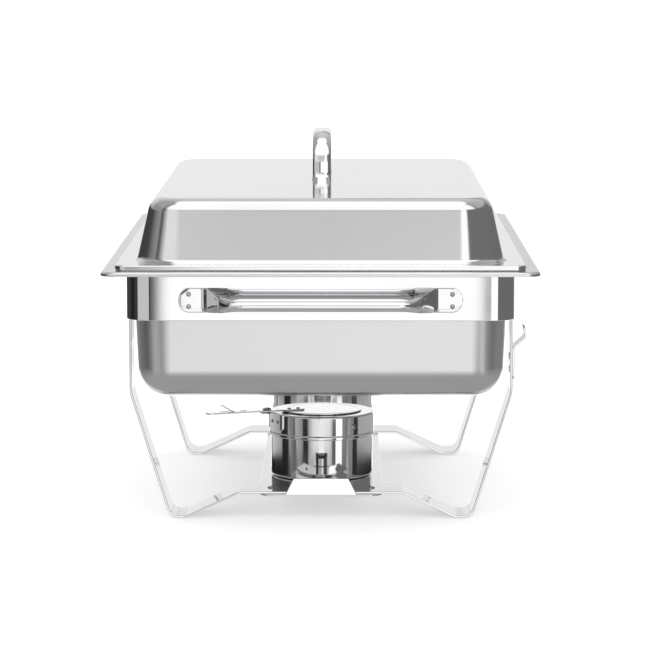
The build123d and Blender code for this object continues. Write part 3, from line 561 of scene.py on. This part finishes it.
def make_pan(name, node, sheet, mouth, corner, flange_corner, lip, taper, bottom_bend):
    """Deep drawn pan: bent flange, smooth mouth, tapered walls and a rounded floor edge."""
    low, high = box_mm(node)
    mouth_bend = 2.2
    least_corner = 6
    floor_rise = ((50, 0.15), (90, 0.25))  # distance in from the wall, and the rise there
    flange = high.x - mouth[0]
    fall = (high.z - low.z) * math.tan(math.radians(taper))
    edge = sheet * 0.45

    def corner_at(out):
        if out <= 0:
            return max(corner + out, least_corner)
        return corner + (flange_corner - corner) * out / flange

    rows = [(-fall - inset, low.z + sheet + rise, 0) for inset, rise in reversed(floor_rise)]
    rows += [(-fall - sheet, low.z + sheet, bottom_bend - sheet), (-sheet, high.z, mouth_bend)]
    if lip:
        rows += [(flange, high.z, mouth_bend), (flange, high.z - lip, edge),
                 (flange - sheet, high.z - lip, edge),
                 (flange - sheet, high.z - sheet, mouth_bend - sheet)]
    else:
        rows += [(flange, high.z, edge), (flange, high.z - sheet, edge)]
    rows += [(0, high.z - sheet, mouth_bend + sheet), (-fall, low.z, bottom_bend)]
    rows += [(-fall - inset, low.z + rise, 0) for inset, rise in floor_rise]
    rings = tray_rings(bent_outline(rows, step=6), mouth[0], mouth[1], corner_at)
    Builder().skin(rings).make(name, node, PAN_STEEL, node)


# ---------------------------------------------------------------- frame

BAND_LOW, BAND_HIGH = box_mm("frame_band")
SHELF_LOW, SHELF_HIGH = box_mm("burner_shelf")
STRIP = 2.0  # gauge of the leg strips and of the lid hooks
STRIP_Y = 165.0
LEG_X = BAND_HIGH.x + STRIP
BRIDGE_Z = 20.6  # top of the shelf and underside of the strips' bridges


def make_frame_band():
    """Polished collar with soft edges."""
    sheet = 1.2
    corner = 20
    edge = 0.5
    height = BAND_HIGH.z - BAND_LOW.z
    section = closed_section([(0, 0, edge), (0, height, edge), (-sheet, height, edge),
                              (-sheet, 0, edge)])
    rings = tray_rings([(out, BAND_LOW.z + z) for out, z in section], BAND_HIGH.x, BAND_HIGH.y,
                       lambda out: corner + out)
    Builder().skin(rings, closed=True).make("frame_band_rolled", "frame", BAND_STEEL, "frame_band")


def make_leg_strip(node, centre_y):
    """One strip bent into two legs and a bridge."""
    half_width = 20.0
    top_z = 210
    knee_z = 106
    knee_bend = 30
    foot_out, foot_in, foot_bend = 127.5, 113.5, 12
    bridge_x, bridge_bend = 69.1, 10
    right = [(bridge_x, BRIDGE_Z, bridge_bend), (foot_in, 0, foot_bend), (foot_out, 0, foot_bend),
             (LEG_X, knee_z, knee_bend), (LEG_X, top_z, 0)]
    left = [(-x, z, bend) for x, z, bend in reversed(right)]
    path = bent_outline(left + right, step=4)
    rings = strip_rings(path, STRIP, lambda distance, length: half_width,
                        lambda point, across: Vector((point.x, centre_y + across, point.y)),
                        edge=0.6)
    Builder().skin(rings).make(node + "_bent", "frame", POLISHED, node)


def make_burner_shelf():
    """Plate with rounded corners, turned-down sides and a tapered tab bent up at each end."""
    top = BRIDGE_Z
    gauge = 1.4
    corner = 12
    half_x, half_y = SHELF_HIGH.x, SHELF_HIGH.y
    shelf = Builder()
    edge, halfway = 0.5, 0.15  # the plate's edge is rounded by three points above and below
    levels = [(-edge, top - gauge), (-halfway, top - gauge + halfway), (0, top - gauge + edge),
              (0, top - edge), (-halfway, top - halfway), (-edge, top)]
    shelf.skin([rect_ring(half_x + out, half_y + out, corner + out, z) for out, z in levels])
    add_shelf_sides(shelf, half_x, top, gauge)

    tab_root = 30.4  # half the width of a tab where it leaves the plate
    tab_narrowing = 7.2
    tab_start = 5
    under = top - gauge + 0.06  # just inside the plate's underside
    path = bent_outline([(half_y - tab_start, under, 0), (half_y, under, 1.6),
                         (half_y, SHELF_HIGH.z, 0)], step=10)

    def half_width(distance, length):
        return tab_root - tab_narrowing * max(0, distance - tab_start) / (length - tab_start)

    for side in (-1, 1):
        def place(point, across, side=side):
            return Vector((across, side * point.x, point.y))

        shelf.skin(strip_rings(path, gauge, half_width, place, edge=0.5))
    shelf.make("burner_shelf_folded", "frame", POLISHED, "burner_shelf")


def add_shelf_sides(shelf, half_x, top, gauge):
    """Turned-down side of the shelf on each hand, between the strips."""
    lip_half = STRIP_Y - 26
    end_bevel = 0.5
    face_x = half_x - 0.05  # just inside the plate's edge
    section = closed_section([(half_x - gauge, top - 0.6, 0.2), (face_x, top - 0.7, 0.6),
                              (face_x, SHELF_LOW.z, 0.5), (half_x - gauge, SHELF_LOW.z, 0.5)])
    middle = Vector((half_x - gauge / 2, (top + SHELF_LOW.z) / 2))
    stations = ((-lip_half, True), (-lip_half + end_bevel, False),
                (lip_half - end_bevel, False), (lip_half, True))
    for side in (-1, 1):
        rings = []
        for y, at_end in stations:
            narrower, lower = (0.75, 0.9) if at_end else (1, 1)
            rings.append([Vector((side * (middle.x + (p.x - middle.x) * narrower), y,
                                  middle.y + (p.y - middle.y) * lower)) * MM for p in section])
        shelf.skin(rings)


def make_carry_handle(node, side):
    """Strip that is flat on the band and rolls into a round grip."""
    face = BAND_HIGH.y
    grip_z = 193.5
    grip = 4.2
    reach = 45
    end_x, root_x, grip_x = 115.5, 93.4, 75.5
    root_bend, grip_bend = 5, 20
    round_to, flat_from = 62, 97  # the section changes between these distances from the middle
    flat_half = 10
    flat_depth = 1.0  # half the thickness of the flat end
    end_round = 9
    end_thin = 0.55  # half the thickness at the very end
    end_edge = 0.6  # length over which the end thins
    ease = 1.3
    thinning = 1.08  # the strip thins a little sooner than it widens
    squareness = 0.72
    around = 56
    spacing = 1.2
    straight_x, straight_parts = 63, 12  # the straight of the grip needs few points

    def point_count(point, other):
        if abs(point.x) < straight_x and abs(other.x) < straight_x:
            return straight_parts
        return math.ceil((other - point).length / spacing)

    right = [(grip_x, reach, grip_bend), (root_x, flat_depth, root_bend), (end_x, flat_depth, 0)]
    left = [(-x, out, bend) for x, out, bend in right]
    path = subdivide(bent_outline(right[::-1] + left, step=3), point_count)
    rings = []
    for point, (normal, _) in zip(path, path_frames(path)):
        share = min(1, max(0, (abs(point.x) - round_to) / (flat_from - round_to)))
        share = (share * share * (3 - 2 * share)) ** ease
        high = grip + (flat_half - grip) * share
        thick = grip + (flat_depth - grip) * min(1, share * thinning)
        depth = end_x - abs(point.x)
        if depth < end_round:
            inside = end_round ** 2 - (end_round - depth) ** 2
            high = flat_half - end_round + math.sqrt(max(0, inside))
            thick = min(thick, end_thin + (flat_depth - end_thin) * min(1, depth / end_edge))
        power = 1 - squareness * share ** 4
        ring = []
        for k in range(around):
            angle = 2 * math.pi * k / around
            spot = point + normal * thick * signed_power(math.sin(angle), power)
            up = high * signed_power(math.cos(angle), power)
            ring.append(Vector((spot.x, side * (face + spot.y), grip_z + up)) * MM)
        rings.append(ring)
    Builder().skin(rings).make(node + "_rolled", "frame", POLISHED, node)


def make_lid_hook(node, centre_y):
    """Strap on a right-hand leg; its upper end stands out and turns up."""
    path = bent_outline([(LEG_X + 8.5, 162, 0), (LEG_X + 10.5, 153, 5), (LEG_X, 144, 4),
                         (LEG_X, 116.5, 0)], step=6)
    spacing = 0.8
    path = subdivide(path, lambda point, other: round((other - point).length / spacing))
    full_half = 10
    end_round = 2.5

    def half_width(distance, length):
        near = min(distance, length - distance)
        return full_half - end_round * max(0, 1 - near / end_round) ** 2

    rings = strip_rings(path, STRIP, half_width,
                        lambda point, across: Vector((point.x, centre_y + across, point.y)))
    Builder().skin(rings).make(node + "_bent", "frame", POLISHED, node)


LEG_RIVET = rivet_profile(head_radius=3.6, head_height=1.6, shank_radius=2.0, shank_length=3.2,
                          tail_radius=2.9, tail_height=1.0)
HOOK_RIVET = rivet_profile(head_radius=3.6, head_height=0.5, shank_radius=2.0, shank_length=4.0,
                           tail_radius=2.9, tail_height=0.5)
SHELF_RIVET = rivet_profile(head_radius=3.6, head_height=1.6, shank_radius=2.0, shank_length=3.4,
                            tail_radius=2.9, tail_height=1.0)
HANDLE_RIVET = rivet_profile(head_radius=2.0, head_height=0.9, shank_radius=1.2, shank_length=3.2,
                             tail_radius=2.0, tail_height=0.9)


def make_frame_rivets():
    """Every rivet of the frame: legs, lid hooks, shelf and carry handles."""
    leg_z = 196
    leg_offset = 11
    legs = Builder()
    for side in (-1, 1):
        for strip_y in (-STRIP_Y, STRIP_Y):
            for offset in (-leg_offset, leg_offset):
                base = (side * LEG_X, strip_y + offset, leg_z)
                legs.skin(axis_rings(LEG_RIVET, base, (side, 0, 0), 40))
    legs.make("leg_rivets_domed", "frame", FASTENER, "leg_rivets")
    hooks = Builder()
    for strip_y in (-STRIP_Y, STRIP_Y):
        for z in (124.5, 135.5):
            hooks.skin(axis_rings(HOOK_RIVET, (LEG_X + STRIP, strip_y, z), (1, 0, 0), 40))
    hooks.make("lid_hook_rivets_domed", "frame", FASTENER, "lid_hook_rivets")
    shelf_x = 42
    shelf = Builder()
    for x in (-shelf_x, shelf_x):
        for strip_y in (-STRIP_Y, STRIP_Y):
            shelf.skin(axis_rings(SHELF_RIVET, (x, strip_y, BRIDGE_Z + STRIP), (0, 0, 1), 40))
    shelf.make("shelf_rivets_domed", "frame", FASTENER, "shelf_rivets")
    handle_x = 107
    plate = 2  # thickness of the flat end of a carry handle
    for end, side in (("front", -1), ("rear", 1)):
        handle = Builder()
        for x in (-handle_x, handle_x):
            for z in (188.5, 198.5):
                base = (x, side * (BAND_HIGH.y + plate), z)
                handle.skin(axis_rings(HANDLE_RIVET, base, (0, side, 0), 32))
        handle.make(end + "_handle_rivets_domed", "frame", FASTENER, end + "_handle_rivets")


# ---------------------------------------------------------------- burners

BURNER_SHEET = 0.8
COVER_RADIUS = 45.4
OPENING = 31
BRACKET_INNER = COVER_RADIUS + 0.05
BRACKET_SHEET = 1.2
EAR_RISE = 1.0
LEVER_AZIMUTH = 200

BRACKET_RIVET = rivet_profile(head_radius=1.7, head_height=0.8, shank_radius=1.0, shank_length=1.9,
                              tail_radius=1.0, tail_height=0)
COVER_STUD = rivet_profile(head_radius=2.4, head_height=1.6, shank_radius=1.0, shank_length=0.8,
                           tail_radius=1.0, tail_height=0)
PIVOT_RIVET = rivet_profile(head_radius=4.0, head_height=1.8, shank_radius=2.0, shank_length=3.0,
                            tail_radius=3.2, tail_height=1.0)
LEVER_RIVET = rivet_profile(head_radius=1.7, head_height=0.8, shank_radius=1.0, shank_length=2.2,
                            tail_radius=1.0, tail_height=0)


class BurnerPlace:
    """Where one burner stands. Its angles are in degrees and turn with the burner."""

    def __init__(self, end, centre_y, turn):
        self.end = end
        self.centre_y = centre_y
        self.turn = turn

    def outward(self, degrees):
        """Level unit vector away from the burner's axis."""
        angle = math.radians(degrees + self.turn)
        return Vector((math.cos(angle), math.sin(angle), 0))

    def spot(self, radius, degrees, z):
        """A point in space, from its distance and direction off the burner's axis."""
        return Vector((0, self.centre_y, z)) + self.outward(degrees) * radius

    def turned(self, rows, step, segments, closed=False):
        """A builder with a shape turned about the axis, from rows of (radius, height, bend)."""
        profile = bent_outline(rows, step, closed)
        rings = axis_rings(profile, (0, self.centre_y, 0), (0, 0, 1), segments)
        return Builder().skin(rings, closed)

    def make(self, builder, name, body, finish, node):
        """The object of a builder; its name, body and node all begin with the burner's end."""
        builder.make(f"{self.end}_{name}", f"{self.end}_{body}", finish, f"{self.end}_{node}")

    def curved_plate(self, start, span, steps, section_at):
        """Rings of a plate that runs round the axis.

        section_at(share) gives the rows of (radius, height, bend) of a section, where share is
        the part of the span that lies between it and the nearer end.
        """
        rings = []
        for k in range(steps + 1):
            section = closed_section(section_at(min(k, steps - k) / steps))
            rings.append([self.spot(p.x, start + span * k / steps, p.y) * MM for p in section])
        return rings


def make_cup(place):
    """Rounded foot, a shallow recess pressed into the floor and a folded mouth."""
    low, high = box_mm(place.end + "_burner_cup")
    radius = (high.x - low.x) / 2
    sheet = BURNER_SHEET
    recess = 1.0
    floor, foot = radius - 12, radius - 9
    inner = radius - sheet
    rows = [(0, low.z + recess, 0), (floor, low.z + recess, 1), (foot, low.z, 1),
            (radius, low.z, 2.2), (radius, high.z, 0.35), (inner, high.z, 0.35),
            (inner, low.z + sheet, 1.4), (foot, low.z + sheet, 0.8),
            (floor, low.z + recess + sheet, 0.8), (0, low.z + recess + sheet, 0)]
    cup = place.turned(rows, step=12, segments=128)
    place.make(cup, "cup_drawn", "burner", BURNER_STEEL, "burner_cup")


def make_cover(place, top):
    """A bead at the foot, a rounded shoulder and a turned-in opening."""
    sheet = BURNER_SHEET
    bead_z = 57.7
    bead = COVER_RADIUS + 0.8
    rows = [(COVER_RADIUS - sheet, bead_z - 1.2, 0.2), (COVER_RADIUS + 0.2, bead_z - 1.6, 0.5),
            (bead, bead_z - 1.2, 0.7), (bead, bead_z + 1.2, 0.7), (COVER_RADIUS, bead_z + 1.9, 0.5),
            (COVER_RADIUS, top, 1.6), (OPENING, top, 0.35), (OPENING, top - sheet, 0.35),
            (COVER_RADIUS - sheet, top - sheet, 0.8)]
    cover = place.turned(rows, step=14, segments=128, closed=True)
    place.make(cover, "cover_pressed", "cover", BURNER_STEEL, "burner_cover")


def make_bracket(place, top):
    """A curved plate on the side of the cover, and a level ear for the pivot."""
    inner, outer = BRACKET_INNER, BRACKET_INNER + BRACKET_SHEET
    ear_top = top + EAR_RISE
    ear_low = ear_top - BRACKET_SHEET
    plate_top = ear_low - 0.02
    plate_low, plate_round, plate_start, plate_span = 62, 2.5, 191, 32
    ear_reach, ear_round, ear_span = 57, 3.5, 17

    def plate(share):
        bottom = plate_low + plate_round * max(0, 1 - share / 0.12) ** 2
        return [(inner, bottom, 0.4), (outer, bottom, 0.4), (outer, plate_top, 0.3),
                (inner, plate_top, 0.3)]

    def ear(share):
        reach = ear_reach - ear_round * max(0, 1 - share / 0.25) ** 2
        return [(inner, ear_low, 0.3), (reach, ear_low, 0.4), (reach, ear_top, 0.4),
                (inner, ear_top, 0.5)]

    bracket = Builder().skin(place.curved_plate(plate_start, plate_span, 24, plate))
    bracket.skin(place.curved_plate(LEVER_AZIMUTH - ear_span / 2, ear_span, 20, ear))
    place.make(bracket, "bracket_folded", "cover", BURNER_STEEL, "snuffer_bracket")


def make_cover_fasteners(place):
    """Two rivets through the bracket, the stud on the cover and the pivot of the snuffer."""
    rivet_z = 69.5
    rivets = Builder()
    for degrees in (204, 216):
        base = place.spot(BRACKET_INNER + BRACKET_SHEET, degrees, rivet_z)
        rivets.skin(axis_rings(BRACKET_RIVET, base, place.outward(degrees), 28))
    place.make(rivets, "bracket_rivets_domed", "cover", FASTENER, "bracket_rivets")
    stud_azimuth = 307
    stud_z = 67
    stud = axis_rings(COVER_STUD, place.spot(BRACKET_INNER, stud_azimuth, stud_z),
                      place.outward(stud_azimuth), 32)
    place.make(Builder().skin(stud), "stud_domed", "cover", FASTENER, "cover_stud")
    pivot_radius = 50.5
    pivot_z = 79.4  # its head clears the lever, which passes over the ear
    pivot = axis_rings(PIVOT_RIVET, place.spot(pivot_radius, LEVER_AZIMUTH, pivot_z), (0, 0, 1), 40)
    place.make(Builder().skin(pivot), "pivot_rivet_domed", "cover", FASTENER, "pivot_rivet")


def make_disc(place):
    """Disc that closes the opening, with a shallow ring groove in its top."""
    low, high = box_mm(place.end + "_snuffer_disc")
    radius = 35
    groove_half = 0.6
    groove_depth = 0.25
    rows = [(0, low.z, 0), (radius, low.z, 0.4), (radius, high.z, 0.4),
            (OPENING + groove_half, high.z, 0.5), (OPENING, high.z - groove_depth, 0.4),
            (OPENING - groove_half, high.z, 0.5), (0, high.z, 0)]
    disc = place.turned(rows, step=20, segments=112)
    place.make(disc, "disc_stamped", "snuffer", BURNER_STEEL, "snuffer_disc")


def make_lever(place):
    """Strip with a hole, a lanced tongue and rounded ends, and its rivets to the disc."""
    low = box_mm(place.end + "_snuffer_disc")[1].z
    sheet = 1.2
    across = place.outward(LEVER_AZIMUTH + 90)

    def flat(distance, offset):
        spot = place.spot(distance, LEVER_AZIMUTH, low) + across * offset
        return (spot.x, spot.y)

    def long_outline(start, end, half, bend, step):
        rows = [(start, -half, bend), (end, -half, bend), (end, half, bend), (start, half, bend)]
        return [flat(p.x, p.y) for p in bent_outline(rows, step, closed=True)]

    def round_outline(distance, radius, segments=36):
        angles = [2 * math.pi * k / segments for k in range(segments)]
        return [flat(distance + radius * math.cos(a), radius * math.sin(a)) for a in angles]

    slot_end = 92
    outlines = [long_outline(start=16.5, end=106, half=6, bend=5, step=10),
                round_outline(distance=72, radius=2.8),
                long_outline(start=79.4, end=slot_end, half=3.2, bend=0.6, step=20)]
    lever = Builder().add_mesh(plate_mesh(outlines, low, sheet, bevel=0.25))

    tongue_half = 2.5
    tongue_rise = 6.5
    lift = 0.02  # keeps the tongue's faces off the faces of the strip
    tongue = bent_outline([(78.6, lift, 0), (81.2, lift, 5), (slot_end, tongue_rise, 0)], step=6)

    def stand(point, side):
        x, y = flat(point.x, side)
        return Vector((x, y, low + point.y))

    lever.skin(strip_rings(tongue, sheet - 2 * lift, lambda distance, length: tongue_half, stand,
                           edge=0.3, bevel=0.25))
    place.make(lever, "lever_stamped", "snuffer", BURNER_STEEL, "snuffer_lever")
    rivets = Builder()
    for radius in (22, 30):
        base = place.spot(radius, LEVER_AZIMUTH, low + sheet)
        rivets.skin(axis_rings(LEVER_RIVET, base, (0, 0, 1), 28))
    place.make(rivets, "lever_rivets_domed", "snuffer", FASTENER, "lever_rivets")


def make_burner(end, centre_y, turn):
    """Cup, cover with its bracket and stud, and the snuffer that swings on the pivot."""
    place = BurnerPlace(end, centre_y, turn)
    top = box_mm(end + "_burner_cover")[1].z
    make_cup(place)
    make_cover(place, top)
    make_bracket(place, top)
    make_cover_fasteners(place)
    make_disc(place)
    make_lever(place)


# ---------------------------------------------------------------- build

BURNER_Y = 79.0

make_lid_shell()
make_lid_handle()
make_lid_fasteners()
make_pan("water_pan_drawn", "water_pan", sheet=0.8, mouth=(154.2, 256.7), corner=32,
         flange_corner=12, lip=3.6, taper=2.6, bottom_bend=26)
make_pan("food_pan_drawn", "food_pan", sheet=0.8, mouth=(151.0, 253.5), corner=28,
         flange_corner=14, lip=0, taper=4.0, bottom_bend=14)
make_frame_band()
make_leg_strip("front_leg_strip", -STRIP_Y)
make_leg_strip("rear_leg_strip", STRIP_Y)
make_burner_shelf()
make_carry_handle("front_carry_handle", -1)
make_carry_handle("rear_carry_handle", 1)
make_lid_hook("front_lid_hook", -STRIP_Y)
make_lid_hook("rear_lid_hook", STRIP_Y)
make_frame_rivets()
make_burner("front", -BURNER_Y, turn=0)
make_burner("rear", BURNER_Y, turn=180)


# ---------------------------------------------------------------- studio

def make_camera():
    """Long lens, a little above the lid, looking along +Y and down."""
    data = bpy.data.cameras.new("camera")
    data.sensor_width = 36.0
    data.lens = 175.9
    data.clip_start = 0.05
    data.clip_end = 60
    camera = bpy.data.objects.new("camera", data)
    camera.location = (0.0147, -2.8225, 0.4858)
    look_down = math.radians(6.957)
    turn_left = math.radians(0.247)
    camera.rotation_euler = (math.radians(90) - look_down, 0, turn_left)
    bpy.context.scene.collection.objects.link(camera)
    bpy.context.scene.camera = camera


def make_floor():
    """White table top, wide enough to fill every view."""
    half = 4.0
    mesh = bpy.data.meshes.new("floor")
    mesh.from_pydata([(-half, -half, 0), (half, -half, 0), (half, half, 0), (-half, half, 0)], [],
                     [(0, 1, 2, 3)])
    floor = bpy.data.objects.new("floor", mesh)
    bpy.context.scene.collection.objects.link(floor)
    material = bpy.data.materials.new("floor_white")
    material.use_nodes = True
    shader = material.node_tree.nodes["Principled BSDF"]
    shader.inputs["Base Color"].default_value = (0.93, 0.93, 0.93, 1)
    shader.inputs["Roughness"].default_value = 0.6
    shader.inputs["Specular IOR Level"].default_value = 0.2
    shader.inputs["Emission Color"].default_value = (1, 1, 1, 1)
    shader.inputs["Emission Strength"].default_value = 0.39
    mesh.materials.append(material)
    floor.visible_glossy = False


def value_ramp(tree, factor, stops):
    """A colour ramp of greys, from (position, value) stops."""
    node = tree.nodes.new("ShaderNodeValToRGB")
    ramp = node.color_ramp
    while len(ramp.elements) > 1:
        ramp.elements.remove(ramp.elements[-1])
    ramp.elements[0].position = stops[0][0]
    ramp.elements[0].color = (stops[0][1],) * 3 + (1,)
    for position, value in stops[1:]:
        element = ramp.elements.new(position)
        element.color = (value, value, value, 1)
    tree.links.new(factor, node.inputs["Fac"])
    return node.outputs["Color"]


def mix_values(tree, factor, first, second):
    """Linear blend of two sockets."""
    node = tree.nodes.new("ShaderNodeMix")
    node.data_type = "RGBA"
    tree.links.new(factor, node.inputs["Factor"])
    tree.links.new(first, node.inputs["A"])
    tree.links.new(second, node.inputs["B"])
    return node.outputs["Result"]


# The studio round the dish, as seen from it. Each pair is an azimuth, in degrees from the -Y side
# and positive towards +X, and the brightness there. The lists go from the table top upwards; the
# lowest ones are painted shade, the table under the dish drawn dark as if in its shadow, since
# reflections don't see the real floor.
SCREEN_WHITE = 1.5
# Painted shade: looking steeply down, the reflected table top is dark as if in the dish's shadow;
# SHADE_WALL keeps it bright only behind.
TABLE_IN_SHADE = [(-180, 0.42), (180, 0.42)]
SHADE_WALL = [(-180, 1.2), (-155, 1.2), (-145, 0.42), (145, 0.42), (155, 1.2), (180, 1.2)]
TABLE_WALL = [(-180, 1.5), (-160, 1.5), (-148, 0.35), (-124, 0.2), (-94, 0.2), (-76, 0.2),
              (-70, 0.4), (-60, 0.54), (-50, 0.51), (-40, 0.45), (-34, 0.3), (-28, 0.32),
              (-22, 0.65), (-13, 0.98), (-4, 1.17), (4, 1.17), (13, 1.02), (22, 0.66), (31, 0.42),
              (37, 0.5), (40, 0.8), (50, 0.8), (56, 0.45), (60, 0.35), (70, 0.28), (94, 0.26),
              (108, 0.34), (148, 0.3), (160, 1.5), (180, 1.5)]
BURNER_FOOT = [(-180, 1.5), (-164, 1.5), (-160, 0.01), (-84, 0.02), (-80, 0.09), (-64, 0.12),
               (-50, 0.3), (-44, 0.1), (-32, 0.04), (-28, 0.45), (-7, 0.45), (-5, 1.35), (5, 1.35),
               (7, 0.5), (22, 0.45), (25, 0.1), (31, 0.1), (33, 1.4), (45, 1.4), (47, 0.1),
               (60, 0.2), (70, 0.12), (73, 0.02), (158, 0.01), (164, 1.5), (180, 1.5)]
BURNER_WALL = [(-180, 1.5), (-164, 1.5), (-158, 0.1), (-146, 0.62), (-104, 0.4), (-99, 0.02),
               (-82, 0.03), (-78, 0.34), (-60, 0.46), (-44, 0.3), (-41, 0.03), (-32, 0.03),
               (-28, 0.4), (-18, 0.82), (-6, 0.96), (8, 0.9), (18, 0.8), (23, 0.5), (25, 0.12),
               (31, 0.12), (33, 1.45), (45, 1.45), (47, 0.3), (58, 0.2), (70, 0.3), (73, 0.03),
               (86, 0.04), (90, 0.42), (150, 0.45), (158, 0.1), (164, 1.5), (180, 1.5)]
LOW_WALL = [(-180, 0.88), (-158, 0.88), (-156, 0.05), (-110, 0.05), (-108, 0.02), (-82, 0.02),
            (-78, 0.05), (-64, 0.05), (-61, 0.62), (-12, 0.62), (12, 1.3), (32, 1.3), (35, 0.16),
            (146, 0.16), (150, 0.88), (180, 0.88)]
MID_WALL = [(-180, 0.7), (-150, 0.7), (-120, 0.3), (-78, 0.3), (-70, 0.06), (-58, 0.5),
            (-50, 0.86), (-24, 0.86), (-10, 0.74), (-3, 0.74), (1, 0.68), (3, 0.78), (6, 0.72),
            (8, 1.2), (27, 1.2), (30, 0.17), (130, 0.17), (150, 0.5), (180, 0.5)]
HIGH_WALL = [(-180, 0.7), (-150, 0.7), (-120, 0.3), (-78, 0.3), (-70, 0.06), (-58, 0.5),
             (-50, 0.86), (-24, 0.86), (-12, 0.62), (10, 0.6), (12, 1.2), (27, 1.2), (30, 0.17),
             (130, 0.17), (150, 0.4), (180, 0.4)]
TOP_WALL = [(-180, 0.7), (-130, 0.4), (-78, 0.4), (-70, 0.1), (-58, 1.2), (58, 1.2), (70, 0.2),
            (78, 0.45), (130, 0.5), (180, 0.7)]
CEILING = [(-180, SCREEN_WHITE), (180, SCREEN_WHITE)]

# Straight ahead the low wall is drawn more finely, over this width in degrees.
FRONT_WIDTH = 24
LOW_FRONT = [(-12, 0.62), (-8, 0.62), (-6.5, 0.03), (-3.44, 0.03), (-3.34, 0.45), (-3.22, 1.05),
             (-3.1, 1.22), (2.5, 1.22), (2.62, 1.05), (2.7, 0.65), (2.76, 0.2), (2.8, 0.2),
             (2.86, 1.3), (12, 1.3)]

# Each layer takes over from the one below it between two elevations, in degrees.
LAYERS = [(-55, -40, SHADE_WALL), (-34, -14, TABLE_WALL), (-11, -10, BURNER_FOOT),
          (-9.4, -9.25, BURNER_WALL), (-8.3, -7.6, LOW_WALL), (9, 14, MID_WALL),
          (17, 27, HIGH_WALL), (30, 37, TOP_WALL), (72, 78, CEILING)]
BACKDROP = 1.08  # brightness of the plain white world behind the dish


def make_world():
    """White surroundings; shiny steel reflects a studio of white screens and dark gaps."""
    world = bpy.data.worlds.new("studio")
    bpy.context.scene.world = world
    world.use_nodes = True
    tree = world.node_tree
    background = tree.nodes["Background"]
    direction = tree.nodes.new("ShaderNodeTexCoord").outputs["Generated"]
    parts = tree.nodes.new("ShaderNodeSeparateXYZ")
    tree.links.new(direction, parts.inputs["Vector"])
    back = math_node(tree, "MULTIPLY", parts.outputs["Y"], -1.0)
    azimuth = math_node(tree, "ARCTAN2", parts.outputs["X"], back)
    elevation = math_node(tree, "ARCSINE", parts.outputs["Z"])

    def share_of(width):
        """Where the azimuth falls in a sector about straight ahead, from 0 to 1."""
        return math_node(tree, "MULTIPLY_ADD", azimuth, 1 / math.radians(width), 0.5)

    def layer(stops, share, width):
        return value_ramp(tree, share, [(a / width + 0.5, v / SCREEN_WHITE) for a, v in stops])

    def step(start, end):
        scale = 180 / math.pi / (end - start)
        climb = math_node(tree, "MULTIPLY_ADD", elevation, scale, -start / (end - start))
        climb.node.use_clamp = True
        return climb

    all_round = share_of(360)
    ahead = math_node(tree, "LESS_THAN", math_node(tree, "ABSOLUTE", azimuth),
                      math.radians(FRONT_WIDTH / 2))
    wall = layer(TABLE_IN_SHADE, all_round, 360)
    for start, end, stops in LAYERS:
        screens = layer(stops, all_round, 360)
        if stops is LOW_WALL:
            front = layer(LOW_FRONT, share_of(FRONT_WIDTH), FRONT_WIDTH)
            screens = mix_values(tree, ahead, screens, front)
        wall = mix_values(tree, step(start, end), wall, screens)
    strong = tree.nodes.new("ShaderNodeVectorMath")
    strong.operation = "SCALE"
    strong.inputs["Scale"].default_value = SCREEN_WHITE
    tree.links.new(wall, strong.inputs[0])
    plain = tree.nodes.new("ShaderNodeRGB")
    plain.outputs[0].default_value = (BACKDROP, BACKDROP, BACKDROP, 1)
    glossy = tree.nodes.new("ShaderNodeLightPath").outputs["Is Glossy Ray"]
    tree.links.new(mix_values(tree, glossy, plain.outputs[0], strong.outputs[0]),
                   background.inputs["Color"])


make_camera()
make_floor()
make_world()
bpy.context.scene.view_settings.view_transform = "Standard"
